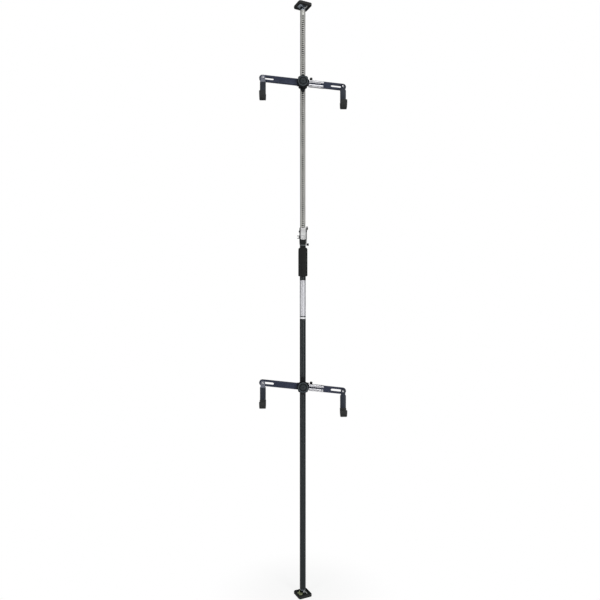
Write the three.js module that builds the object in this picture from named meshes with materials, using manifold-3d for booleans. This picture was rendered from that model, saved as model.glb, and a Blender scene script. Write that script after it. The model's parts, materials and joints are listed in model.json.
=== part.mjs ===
// A two tier rack on a telescopic pole that is wedged between floor and ceiling.
// A jack on the lower tube lifts the slotted upper tube. Each tier is a clamp on the pole with a tilting,
// telescopic arm and two rubber lined hooks.
// Millimetres, +Z up. X runs along the arms, -Y is the side that carries the load, and the origin lies on
// the floor under the middle of the pole.
import * as THREE from "three";
import { mergeGeometries, mergeVertices } from "three/addons/utils/BufferGeometryUtils.js";
import Module from "manifold-3d";

const wasm = await Module();
wasm.setup();

// Clearances and facets
const gap = 0.3; // between pieces that are fastened together
const play = 0.5; // between pieces that move past each other
const overrun = 2; // how far a cutting tool stands out of what it cuts
const facets = { tube: 20, ring: 20, pin: 12, small: 8, hex: 6, lobe: 6, corner: 2, bend: 5 };
const shares = { crown: 0.6, shoulder: 0.55, chamfer: 0.7, waist: 0.82, low: 0.3, cap: 0.35, lobe: 0.6 };

// Pole
const ceilingHeight = 2832;
const tubeEnd = 30; // distance of each tube end from its floor or ceiling
const lowerTube = { radius: 14.3, wall: 1.2, top: 1722 };
const upperTube = { radius: 12.7, wall: 1.5, inside: 432 }; // inside: its length within the lower tube
const rack = { pitch: 10, slotWidth: 9.6, slotHeight: 5.6, plainTop: 25, plainBottom: 215 };

// Feet: a rubber pad, a folded bracket with two ears, and a tongue on a pin
const pad = { side: 68, corner: 9, thickness: 8, rim: 4, rimWidth: 4, yawDegrees: 25 };
const bracket = { length: 46, width: 27, sheet: 2.2, earTop: 6.5, earFoot: 34 };
const tongue = { thickness: 7, topWidth: 20, tipRadius: 5.5, flankDegrees: 18, plugLength: 26, plugWall: 3 };
const footPin = { radius: 3, height: 20, headRadius: 5, headHeight: 2.2, stub: 2 };

// Jack. The housing's heights are measured from the top of the lower tube.
const housing = {
  halfWidth: 16, front: 32, back: 18.5, below: 19, above: 35.5, cornerRadius: 7, frontCorner: 2.5,
  pocketHalfWidth: 8, pocketFront: 29.2, roof: 1.8, ribWidth: 1.6, ribHeight: 0.9, ribInset: 3, ribCount: 4,
};
const bush = { wall: 2, lip: 2 };
const collar = { height: 23, topRadius: 16.6, bottomRadius: 15.6, notchHeight: 18 };
const housingScrew = { radius: 2.5, headRadius: 4.5, headHeight: 2.4, below: 10 };
const leverPin = { radius: 3, front: 26, above: 10.5, headRadius: 3.8, headHeight: 2 };
const pinClip = { sheet: 1.6, halfWidth: 7.5, prong: 9.5, prongThickness: 2.6, prongSpacing: 11, depth: 9 };
const pawl = {
  reach: 4.5, rise: 11, noseHeight: 2.6, noseLength: 3, neck: 4.4, bossRadius: 3.6, thickness: 7,
  trunnionRadius: 2, drop: 0.5,
};
const drivePawl = { below: 1.5 }; // nose height below the lever pin
const holdingPawl = { slotCount: 4, eyeRadius: 4.4 }; // slotCount: slots from the driving pawl up to this one
const lever = {
  headRadius: 5.2, armWidth: 22, armThickness: 4, armFront: 29.4, length: 183, channelDrop: 54,
  webFront: 36, webThickness: 2.2, flangeHalfWidth: 17.4, flangeBack: 9, cheek: 2.4, cheekGap: 0.4,
};
const grip = {
  halfWidth: 21.6, front: 40, back: 7, wall: 2.6, shoulder: 9, edge: 4, neckHalfWidth: 13.6, neckWall: 2,
  beadHeight: 2.4, beadAbove: 13.5, bead: 0.8,
};
const pawlShaft = { radius: 2.6, headRadius: 4.4, headHeight: 3 };
const releaseLever = {
  thickness: 2, bossRadius: 7, topRise: 24, topWidth: 5, bottomDrop: 62, neckWidth: 7, padRadius: 5.6,
  padOut: 9, tabOut: 6, tabHeight: 22,
};

// Tiers
const upperTierDrop = 389; // from the ceiling down to the upper tier
const lowerTierRise = 1004; // from the floor up to the lower tier
const tiers = [
  { name: "upper", height: ceilingHeight - upperTierDrop, tube: upperTube },
  { name: "lower", height: lowerTierRise, tube: lowerTube },
];
const liner = { radius: 16.6, flangeRadius: 17.6, flangeHeight: 2.2 };
const clamp = {
  wall: 4, below: 9, above: 13, split: 1, earWidth: 8, earDepth: 8.5, plateWidth: 25, plateFront: 29,
  plateBack: 18.2, plateTop: 44, plateTopWidth: 9, plateTaper: 14, plateBottom: 40, plateTail: 7,
  tailTaper: 17,
};
const clampScrew = { radius: 2.5, headRadius: 4.4, headHeight: 5, socketRadius: 2.3, socketDepth: 2.6 };
const arm = {
  height: 30, thickness: 12, leftReach: 193, rightReach: 190, tailStart: 17, tailHeight: 24, tailThickness: 8,
  tailEnd: 97, panelHeight: 15, panelDepth: 0.8, panelInner: 34, panelOuter: 122, slotHeight: 11,
  leftSlot: 49, rightSlot: 52, dimpleRadius: 1.7, dimpleDepth: 1.4, dimplePitch: 9, dimpleCount: 6,
  tiltDegrees: 6, leftInset: 3, // leftInset: from the outer end of the left slot in to the left hook
};
const sleeve = {
  start: 28, end: 98, height: 32.5, thickness: 15.8, socket: 12, cavityEnd: 122, windowHeight: 3.4,
  windowInset: 5, ridgeRadius: 7.2, backCorner: 2.5,
};
const knob = {
  radius: 29.4, lobeCount: 8, lobeDepth: 3, thickness: 18, bevel: 2, ringOuter: 18.5, ringInner: 13.5,
  ringDepth: 3, hubRadius: 14, hubHeight: 2, boltDepth: 12, facePad: 1.8,
};
const knobBolt = { radius: 4 };
const thumbKnob = { along: 36.5, stemRadius: 3, headRadius: 6.6, headHeight: 11.5, neck: 0.5, crown: 1.4 };
const hookBolt = {
  radius: 4, collarRadius: 9.5, collarHeight: 3, headRadius: 5.6, headHeight: 4.2, nutRadius: 7.6,
  nutHeight: 6.5, tipLength: 1.5, washerRadius: 9, washerHeight: 1.6,
};
const hook = {
  width: 27.5, sheet: 5, tabWidth: 22, tabDrop: 17, shoulder: 4, drop: 113, bend: 22, lip: 3,
};
const rubber = { wall: 2.8, sideWall: 1.3, top: 34 };

const degrees = Math.PI / 180;

// Colours, roughness and metalness
function finish(color, roughness, metalness) {
  return new THREE.MeshStandardMaterial({ color, roughness, metalness });
}
const finishes = {
  galvanised: finish(0xa9a9a6, 0.45, 0.85),
  blackTube: finish(0x2f3333, 0.38, 0.2),
  housingCast: finish(0xcacac8, 0.35, 0.8),
  armPaint: finish(0x353949, 0.42, 0.25),
  hookPaint: finish(0x363b46, 0.4, 0.25),
  blackSteel: finish(0x232528, 0.45, 0.3),
  brightSteel: finish(0xd8d9dc, 0.22, 0.95),
  zincSteel: finish(0xb9bcc0, 0.35, 0.85),
  knobPlastic: finish(0x2f3334, 0.5, 0),
  gripPlastic: finish(0x272828, 0.6, 0),
  linerPlastic: finish(0x1d1e20, 0.55, 0),
  padRubber: finish(0x2c2d2c, 0.85, 0),
  hookRubber: finish(0x252626, 0.8, 0),
  bracketSteel: finish(0x8f98a3, 0.4, 0.8),
};

// Solid operations on closed geometries
function toSolid(geometry) {
  const bare = geometry.index ? geometry.toNonIndexed() : geometry.clone();
  bare.deleteAttribute("normal");
  bare.deleteAttribute("uv");
  const merged = mergeVertices(bare, 1e-4);
  return new wasm.Manifold(new wasm.Mesh({
    numProp: 3,
    vertProperties: merged.attributes.position.array,
    triVerts: new Uint32Array(merged.index.array),
  }));
}
function toGeometry(solid) {
  const mesh = solid.getMesh();
  const points = new Float32Array(mesh.numVert * 3);
  for (let i = 0; i < mesh.numVert; i += 1) {
    points.set(mesh.vertProperties.subarray(i * mesh.numProp, i * mesh.numProp + 3), i * 3);
  }
  const geometry = new THREE.BufferGeometry();
  geometry.setAttribute("position", new THREE.BufferAttribute(points, 3));
  geometry.setIndex(new THREE.BufferAttribute(new Uint32Array(mesh.triVerts), 1));
  return geometry;
}
function join(...geometries) {
  return toGeometry(geometries.map(toSolid).reduce((sum, piece) => sum.add(piece)));
}
function cut(geometry, ...tools) {
  return toGeometry(tools.map(toSolid).reduce((rest, tool) => rest.subtract(tool), toSolid(geometry)));
}
function overlapOf(geometry, other) {
  return toGeometry(toSolid(geometry).intersect(toSolid(other)));
}

// Basic forms. A box is given by its lowest and highest corner.
function box(x0, y0, z0, x1, y1, z1) {
  return new THREE.BoxGeometry(x1 - x0, y1 - y0, z1 - z0)
    .translate((x0 + x1) / 2, (y0 + y1) / 2, (z0 + z1) / 2);
}
function rodZ(radius, low, high, sides) {
  return new THREE.CylinderGeometry(radius, radius, high - low, sides)
    .rotateX(Math.PI / 2)
    .rotateZ(Math.PI / sides)
    .translate(0, 0, (low + high) / 2);
}
function rodY(radius, low, high, sides) {
  return new THREE.CylinderGeometry(radius, radius, high - low, sides).translate(0, (low + high) / 2, 0);
}
function rodX(radius, low, high, sides) {
  return new THREE.CylinderGeometry(radius, radius, high - low, sides)
    .rotateZ(Math.PI / 2)
    .translate((low + high) / 2, 0, 0);
}
// A turned form: profile points are [radius, height] from the axis back to the axis, and it stands along +Z.
function turned(profile, sides) {
  const points = profile.map(([radius, height]) => new THREE.Vector2(radius, height));
  return new THREE.LatheGeometry(points, sides).rotateX(Math.PI / 2);
}
// An outline drawn in X and Z, as thick as from y = front to y = back.
function plateXZ(shape, front, back, curves = facets.corner) {
  return new THREE.ExtrudeGeometry(shape, { depth: back - front, bevelEnabled: false, curveSegments: curves })
    .rotateX(Math.PI / 2)
    .translate(0, back, 0);
}
// An outline drawn in Y and Z, as wide as from x = low to x = high.
function plateYZ(shape, low, high, curves = facets.corner) {
  return new THREE.ExtrudeGeometry(shape, { depth: high - low, bevelEnabled: false, curveSegments: curves })
    .rotateX(Math.PI / 2)
    .rotateZ(Math.PI / 2)
    .translate(low, 0, 0);
}
// An outline drawn in X and Y, as high as from z = low to z = high.
function plateXY(shape, low, high, curves = facets.corner) {
  return new THREE.ExtrudeGeometry(shape, { depth: high - low, bevelEnabled: false, curveSegments: curves })
    .translate(0, 0, low);
}
function polygon(points) {
  return new THREE.Shape(points.map(([a, b]) => new THREE.Vector2(a, b)));
}
function roundedRectangle(a0, b0, a1, b1, radius) {
  const shape = new THREE.Shape();
  shape.moveTo(a0 + radius, b0);
  shape.lineTo(a1 - radius, b0);
  shape.absarc(a1 - radius, b0 + radius, radius, -Math.PI / 2, 0);
  shape.absarc(a1 - radius, b1 - radius, radius, 0, Math.PI / 2);
  shape.absarc(a0 + radius, b1 - radius, radius, Math.PI / 2, Math.PI);
  shape.absarc(a0 + radius, b0 + radius, radius, Math.PI, 1.5 * Math.PI);
  return shape;
}
// A slot outline with round ends, its end centres at a0 and a1.
function slotShape(a0, a1, height) {
  const shape = new THREE.Shape();
  shape.absarc(a1, 0, height / 2, -Math.PI / 2, Math.PI / 2);
  shape.absarc(a0, 0, height / 2, Math.PI / 2, 1.5 * Math.PI);
  return shape;
}

const root = new THREE.Group();
function add(parent, name, geometry, material) {
  const mesh = new THREE.Mesh(geometry, material);
  mesh.name = name;
  parent.add(mesh);
  return mesh;
}
function groupAt(parent, x, y, z) {
  const group = new THREE.Group();
  group.position.set(x, y, z);
  parent.add(group);
  return group;
}

// Places that follow from the driving sizes
const upperTop = ceilingHeight - tubeEnd;
const upperBottom = lowerTube.top - upperTube.inside;
const housingBottom = lowerTube.top - housing.below;
const housingTop = lowerTube.top + housing.above;
const collarBottom = housingBottom - collar.height;
const screwHeight = lowerTube.top - housingScrew.below;
const pinHeight = housingBottom + leverPin.above;
const openingTop = pinHeight + lever.headRadius + play;
// The lever's wide part starts where it clears the housing's lower front edge on its way out.
const leverShoulder = pinHeight - Math.hypot(housing.front - leverPin.front, leverPin.above) - play;
const leverBottom = pinHeight - lever.length;
const channelTop = pinHeight - lever.channelDrop;
const driveNoseHeight = pinHeight - drivePawl.below;
const firstSlot = driveNoseHeight - pawl.drop;
const slotsAbove = Math.floor((upperTop - rack.plainTop - firstSlot) / rack.pitch);
const slotsBelow = Math.floor((firstSlot - upperBottom - rack.plainBottom) / rack.pitch);
const noseFace = upperTube.radius + gap;
const pawlPivotFront = noseFace + pawl.reach;
const drivePivotHeight = driveNoseHeight - pawl.rise;
const holdingPivotHeight = driveNoseHeight + holdingPawl.slotCount * rack.pitch - pawl.rise;

// Pole tubes: the lower one has a window for the jack's pawl at its top, the upper one a row of rack slots.
function makeLowerTube() {
  const outer = rodZ(lowerTube.radius, tubeEnd, lowerTube.top, facets.tube);
  const inner = lowerTube.radius - lowerTube.wall;
  const bore = rodZ(inner, tubeEnd - overrun, lowerTube.top + overrun, facets.tube);
  const window = box(
    -housing.pocketHalfWidth, -lowerTube.radius - overrun, collarBottom + overrun,
    housing.pocketHalfWidth, -lowerTube.radius / 2, lowerTube.top + overrun,
  );
  const screwHole = rodY(
    housingScrew.radius + gap, lowerTube.radius / 2, lowerTube.radius + overrun, facets.small,
  ).translate(0, 0, screwHeight);
  add(root, "lower_tube", cut(outer, bore, window, screwHole), finishes.blackTube);
}
function makeUpperTube() {
  const outer = rodZ(upperTube.radius, upperBottom, upperTop, facets.tube);
  const inner = upperTube.radius - upperTube.wall;
  const bore = rodZ(inner, upperBottom - overrun, upperTop + overrun, facets.tube);
  const slots = [];
  for (let i = -slotsBelow; i <= slotsAbove; i += 1) {
    const middle = firstSlot + i * rack.pitch;
    slots.push(box(
      -rack.slotWidth / 2, -upperTube.radius - overrun, middle - rack.slotHeight / 2,
      rack.slotWidth / 2, -upperTube.radius / 2, middle + rack.slotHeight / 2,
    ));
  }
  add(root, "upper_tube", cut(outer, bore, mergeGeometries(slots)), finishes.galvanised);
}

// A foot is built standing on z = 0 and turned over for the ceiling.
function makeFoot(name, tube, turnedOver) {
  const foot = new THREE.Group();
  foot.rotation.z = (turnedOver ? -1 : 1) * pad.yawDegrees * degrees;
  if (turnedOver) {
    foot.rotation.x = Math.PI;
    foot.position.z = ceilingHeight;
  }
  root.add(foot);

  const half = pad.side / 2;
  const seat = pad.thickness + gap;
  const padBody = plateXY(roundedRectangle(-half, -half, half, half, pad.corner), 0, pad.thickness + pad.rim);
  const inner = half - pad.rimWidth;
  const padTray = plateXY(
    roundedRectangle(-inner, -inner, inner, inner, pad.corner - pad.rimWidth / 2),
    pad.thickness, pad.thickness + pad.rim + overrun,
  );
  add(foot, name + "_pad", cut(padBody, padTray), finishes.padRubber);

  const baseTop = seat + bracket.sheet;
  const base = box(
    -bracket.length / 2, -bracket.width / 2, seat,
    bracket.length / 2, bracket.width / 2, baseTop,
  );
  const earShape = new THREE.Shape();
  earShape.moveTo(-bracket.earFoot / 2, seat);
  earShape.lineTo(bracket.earFoot / 2, seat);
  earShape.absarc(0, footPin.height, bracket.earTop, Math.PI / 6, Math.PI - Math.PI / 6);
  const pinHole = rodY(footPin.radius + gap, -bracket.width, bracket.width, facets.pin)
    .translate(0, 0, footPin.height);
  const ears = [-1, 1].map((side) => {
    const outside = side * bracket.width / 2;
    const inside = side * (bracket.width / 2 - bracket.sheet);
    return plateXZ(earShape, Math.min(outside, inside), Math.max(outside, inside), facets.bend);
  });
  add(foot, name + "_bracket", cut(join(base, ...ears), pinHole), finishes.bracketSteel);

  const plugRadius = tube.radius - tube.wall - gap;
  const plate = tongue.thickness / 2;
  const flank = tongue.flankDegrees * degrees;
  const flangeTop = tubeEnd - gap;
  const plugTop = tubeEnd + tongue.plugLength;
  const tongueShape = new THREE.Shape();
  tongueShape.moveTo(tongue.topWidth / 2, flangeTop);
  tongueShape.lineTo(-tongue.topWidth / 2, flangeTop);
  tongueShape.absarc(0, footPin.height, tongue.tipRadius, Math.PI + flank, 2 * Math.PI - flank);
  const flange = rodZ(tube.radius - tube.wall / 2, flangeTop - bracket.sheet, flangeTop, facets.tube);
  const plug = cut(
    rodZ(plugRadius, flangeTop - bracket.sheet / 2, plugTop, facets.tube),
    rodZ(plugRadius - tongue.plugWall, tubeEnd + tongue.plugWall, plugTop + overrun, facets.pin),
  );
  const tongueSolid = cut(join(plateXZ(tongueShape, -plate, plate), flange, plug), pinHole);
  add(foot, name + "_tongue", tongueSolid, finishes.bracketSteel);

  const pinEnd = bracket.width / 2 + footPin.stub;
  const headStart = bracket.width / 2 + gap;
  const pin = turned([
    [0, -headStart - footPin.headHeight],
    [footPin.headRadius * shares.chamfer, -headStart - footPin.headHeight],
    [footPin.headRadius, -headStart - footPin.headHeight / 2],
    [footPin.headRadius, -headStart],
    [footPin.radius, -headStart],
    [footPin.radius, pinEnd],
    [0, pinEnd],
  ], facets.pin).rotateX(-Math.PI / 2).translate(0, 0, footPin.height);
  add(foot, name + "_pin", pin, finishes.brightSteel);
}

// Jack: the housing on the lower tube, its bush, collar and screw
function makeHousing() {
  const { halfWidth, front, back, cornerRadius } = housing;
  const bottom = housingBottom;
  const top = housingTop;
  const shape = new THREE.Shape();
  shape.moveTo(-halfWidth + housing.frontCorner, -front);
  shape.lineTo(halfWidth - housing.frontCorner, -front);
  shape.lineTo(halfWidth, -front + housing.frontCorner);
  shape.absarc(halfWidth - cornerRadius, back - cornerRadius, cornerRadius, 0, Math.PI / 2);
  shape.absarc(-halfWidth + cornerRadius, back - cornerRadius, cornerRadius, Math.PI / 2, Math.PI);
  shape.lineTo(-halfWidth, -front + housing.frontCorner);
  const body = plateXY(shape, bottom, top);

  const tubeBore = rodZ(lowerTube.radius + gap, bottom - overrun, lowerTube.top + gap, facets.tube);
  const bushTop = top - bush.lip;
  const bushRadius = upperTube.radius + gap + bush.wall;
  const bushBore = rodZ(bushRadius + gap, lowerTube.top, bushTop, facets.tube);
  const mouth = rodZ(upperTube.radius + play, bushTop - overrun, top + overrun, facets.tube);
  const pocket = box(
    -housing.pocketHalfWidth, -housing.pocketFront, bottom - overrun,
    housing.pocketHalfWidth, 0, top - housing.roof,
  );
  const opening = box(
    -housing.pocketHalfWidth, -front - housing.ribHeight - overrun, bottom - overrun,
    housing.pocketHalfWidth, -upperTube.radius, openingTop,
  );
  const ribs = [];
  for (let i = 0; i < housing.ribCount; i += 1) {
    const middle = (2 * i / (housing.ribCount - 1) - 1) * (halfWidth - housing.ribInset);
    const low = Math.abs(middle) < housing.pocketHalfWidth ? openingTop : bottom;
    ribs.push(box(
      middle - housing.ribWidth / 2, -front - housing.ribHeight, low + housing.ribInset,
      middle + housing.ribWidth / 2, -front + housing.ribHeight, top - housing.ribInset,
    ));
  }
  const leverHole = rodX(leverPin.radius + gap, -halfWidth - overrun, halfWidth + overrun, facets.pin)
    .translate(0, -leverPin.front, pinHeight);
  const shaftHole = rodX(pawlShaft.radius + gap, -halfWidth - overrun, halfWidth + overrun, facets.pin)
    .translate(0, -pawlPivotFront, holdingPivotHeight);
  const screwHole = rodY(housingScrew.radius + gap, 0, back + overrun, facets.small)
    .translate(0, 0, screwHeight);
  const casting = join(body, ...ribs);
  add(root, "jack_housing",
    cut(casting, tubeBore, bushBore, mouth, pocket, opening, leverHole, shaftHole, screwHole),
    finishes.housingCast);

  const bushBody = rodZ(bushRadius, lowerTube.top + gap, bushTop - gap, facets.tube);
  const bushHole = rodZ(upperTube.radius + gap, lowerTube.top - overrun, bushTop + overrun, facets.tube);
  const bushNotch = box(
    -housing.pocketHalfWidth, -bushRadius - overrun, lowerTube.top - overrun,
    housing.pocketHalfWidth, -upperTube.radius / 2, bushTop + overrun,
  );
  add(root, "guide_bush", cut(bushBody, bushHole, bushNotch), finishes.linerPlastic);

  const ring = turned([
    [lowerTube.radius + gap, collarBottom],
    [collar.bottomRadius, collarBottom],
    [collar.topRadius, bottom - gap],
    [lowerTube.radius + gap, bottom - gap],
    [lowerTube.radius + gap, collarBottom],
  ], facets.tube);
  const notch = box(
    -housing.pocketHalfWidth, -collar.topRadius - overrun, bottom - collar.notchHeight,
    housing.pocketHalfWidth, -lowerTube.radius / 2, bottom + overrun,
  );
  add(root, "tube_collar", cut(ring, notch), finishes.blackSteel);

  const screwTip = lowerTube.radius - lowerTube.wall;
  const screw = turned([
    [0, screwTip],
    [housingScrew.radius, screwTip],
    [housingScrew.radius, back + gap],
    [housingScrew.headRadius, back + gap],
    [housingScrew.headRadius * shares.chamfer, back + gap + housingScrew.headHeight],
    [0, back + gap + housingScrew.headHeight],
  ], facets.pin).rotateX(-Math.PI / 2).translate(0, 0, screwHeight);
  add(root, "housing_screw", screw, finishes.zincSteel);
}

// Lever: a head on its pin in the housing's opening, an arm down the front, and a channel over the tube
function makeLever() {
  const pinY = -leverPin.front;
  const pinZ = pinHeight;
  const noseY = -pawlPivotFront;
  const noseZ = drivePivotHeight;
  const headHalf = housing.pocketHalfWidth - play;
  const head = rodX(lever.headRadius, -headHalf, headHalf, facets.ring).translate(0, pinY, pinZ);
  const backOfArm = -lever.armFront + lever.armThickness;
  const armNarrow = box(-headHalf, -lever.armFront, leverShoulder - overrun, headHalf, backOfArm, pinZ);
  const apron = box(-headHalf, pinY - lever.headRadius, leverShoulder + gap, headHalf, backOfArm, pinZ);
  const arm = box(
    -lever.armWidth / 2, -lever.armFront, channelTop - lever.webThickness,
    lever.armWidth / 2, backOfArm, leverShoulder,
  );
  const outside = lever.flangeHalfWidth;
  const inside = outside - lever.webThickness;
  const web = box(
    -outside, -lever.webFront, leverBottom,
    outside, -lever.webFront + lever.webThickness, channelTop,
  );
  const step = box(
    -lever.armWidth / 2, -lever.webFront, channelTop - lever.armThickness,
    lever.armWidth / 2, backOfArm, channelTop,
  );
  const flanges = [-1, 1].map((side) => box(
    Math.min(side * outside, side * inside), -lever.webFront, leverBottom,
    Math.max(side * outside, side * inside), -lever.flangeBack, channelTop,
  ));
  // Two cheeks reach back and down from the head to carry the driving pawl between them.
  const cheekInner = headHalf - lever.cheek;
  const length = Math.hypot(noseY - pinY, noseZ - pinZ);
  const cheekShape = new THREE.Shape();
  cheekShape.absarc(0, 0, lever.headRadius, 0, Math.PI);
  cheekShape.absarc(0, -length, pawl.bossRadius, Math.PI, 2 * Math.PI);
  const tiltOfCheek = Math.atan2(noseY - pinY, pinZ - noseZ);
  const cheeks = [-1, 1].map((side) => plateYZ(
    cheekShape,
    Math.min(side * cheekInner, side * headHalf),
    Math.max(side * cheekInner, side * headHalf),
  ).rotateX(tiltOfCheek).translate(0, pinY, pinZ));
  const pinHole = rodX(leverPin.radius + gap, -headHalf - overrun, headHalf + overrun, facets.pin)
    .translate(0, pinY, pinZ);
  const trunnionHole = rodX(pawl.trunnionRadius + gap, -headHalf - overrun, headHalf + overrun, facets.small)
    .translate(0, noseY, noseZ);
  // Room in the head for the pawl's arm
  const throat = box(
    -cheekInner, pinY + lever.armThickness / 2, noseZ - length,
    cheekInner, 0, pinZ + length,
  );
  const body = join(head, armNarrow, apron, arm, web, step, ...flanges, ...cheeks);
  add(root, "lever", cut(body, pinHole, trunnionHole, throat), finishes.zincSteel);
}

// Moulded grip: a channel with round shoulders over the lever's channel, and a narrow neck over its arm
function makeGrip() {
  const { halfWidth, front, back, shoulder, edge } = grip;
  const top = channelTop + gap + grip.wall;
  const bottom = leverBottom - gap - grip.wall;
  const outline = new THREE.Shape();
  outline.moveTo(-halfWidth + edge, bottom);
  outline.lineTo(halfWidth - edge, bottom);
  outline.absarc(halfWidth - edge, bottom + edge, edge, -Math.PI / 2, 0);
  outline.absarc(halfWidth - shoulder, top - shoulder, shoulder, 0, Math.PI / 2);
  outline.absarc(-halfWidth + shoulder, top - shoulder, shoulder, Math.PI / 2, Math.PI);
  outline.absarc(-halfWidth + edge, bottom + edge, edge, Math.PI, 1.5 * Math.PI);
  const section = new THREE.Shape();
  section.moveTo(-halfWidth, -back);
  section.lineTo(-halfWidth, -front + shoulder);
  section.absarc(-halfWidth + shoulder, -front + shoulder, shoulder, Math.PI, 1.5 * Math.PI);
  section.absarc(halfWidth - shoulder, -front + shoulder, shoulder, 1.5 * Math.PI, 2 * Math.PI);
  section.lineTo(halfWidth, -back);
  const shell = overlapOf(plateXZ(outline, -front, -back), plateXY(section, bottom, top));

  const cavity = box(
    -lever.flangeHalfWidth - gap, -lever.webFront - gap, leverBottom - gap,
    lever.flangeHalfWidth + gap, -back + overrun, channelTop + gap,
  );
  const tubeWay = box(
    -lever.flangeHalfWidth + gap, -lowerTube.radius - play, bottom - overrun,
    lever.flangeHalfWidth - gap, -back + overrun, top + overrun,
  );
  const armHalf = lever.armWidth / 2;
  const neckFront = lever.armFront + gap + grip.neckWall;
  const neckShape = polygon([
    [-grip.neckHalfWidth, top - shoulder],
    [grip.neckHalfWidth, top - shoulder],
    [grip.neckHalfWidth, top + grip.beadAbove],
    [housing.halfWidth, leverShoulder],
    [-housing.halfWidth, leverShoulder],
    [-grip.neckHalfWidth, top + grip.beadAbove],
  ]);
  const neckBack = -lever.armFront + lever.armThickness + gap;
  const neck = plateXZ(neckShape, -neckFront, neckBack);
  const beadTop = top + grip.beadAbove;
  const bead = box(
    -grip.neckHalfWidth - grip.bead, -neckFront - grip.bead, beadTop - grip.beadHeight,
    grip.neckHalfWidth + grip.bead, neckBack, beadTop,
  );
  const armWay = box(
    -armHalf - gap, -lever.armFront - gap, channelTop,
    armHalf + gap, neckBack + overrun, leverShoulder + overrun,
  );
  const body = join(shell, neck, bead);
  add(root, "lever_grip", cut(body, cavity, tubeWay, armWay), finishes.gripPlastic);
}

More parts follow.
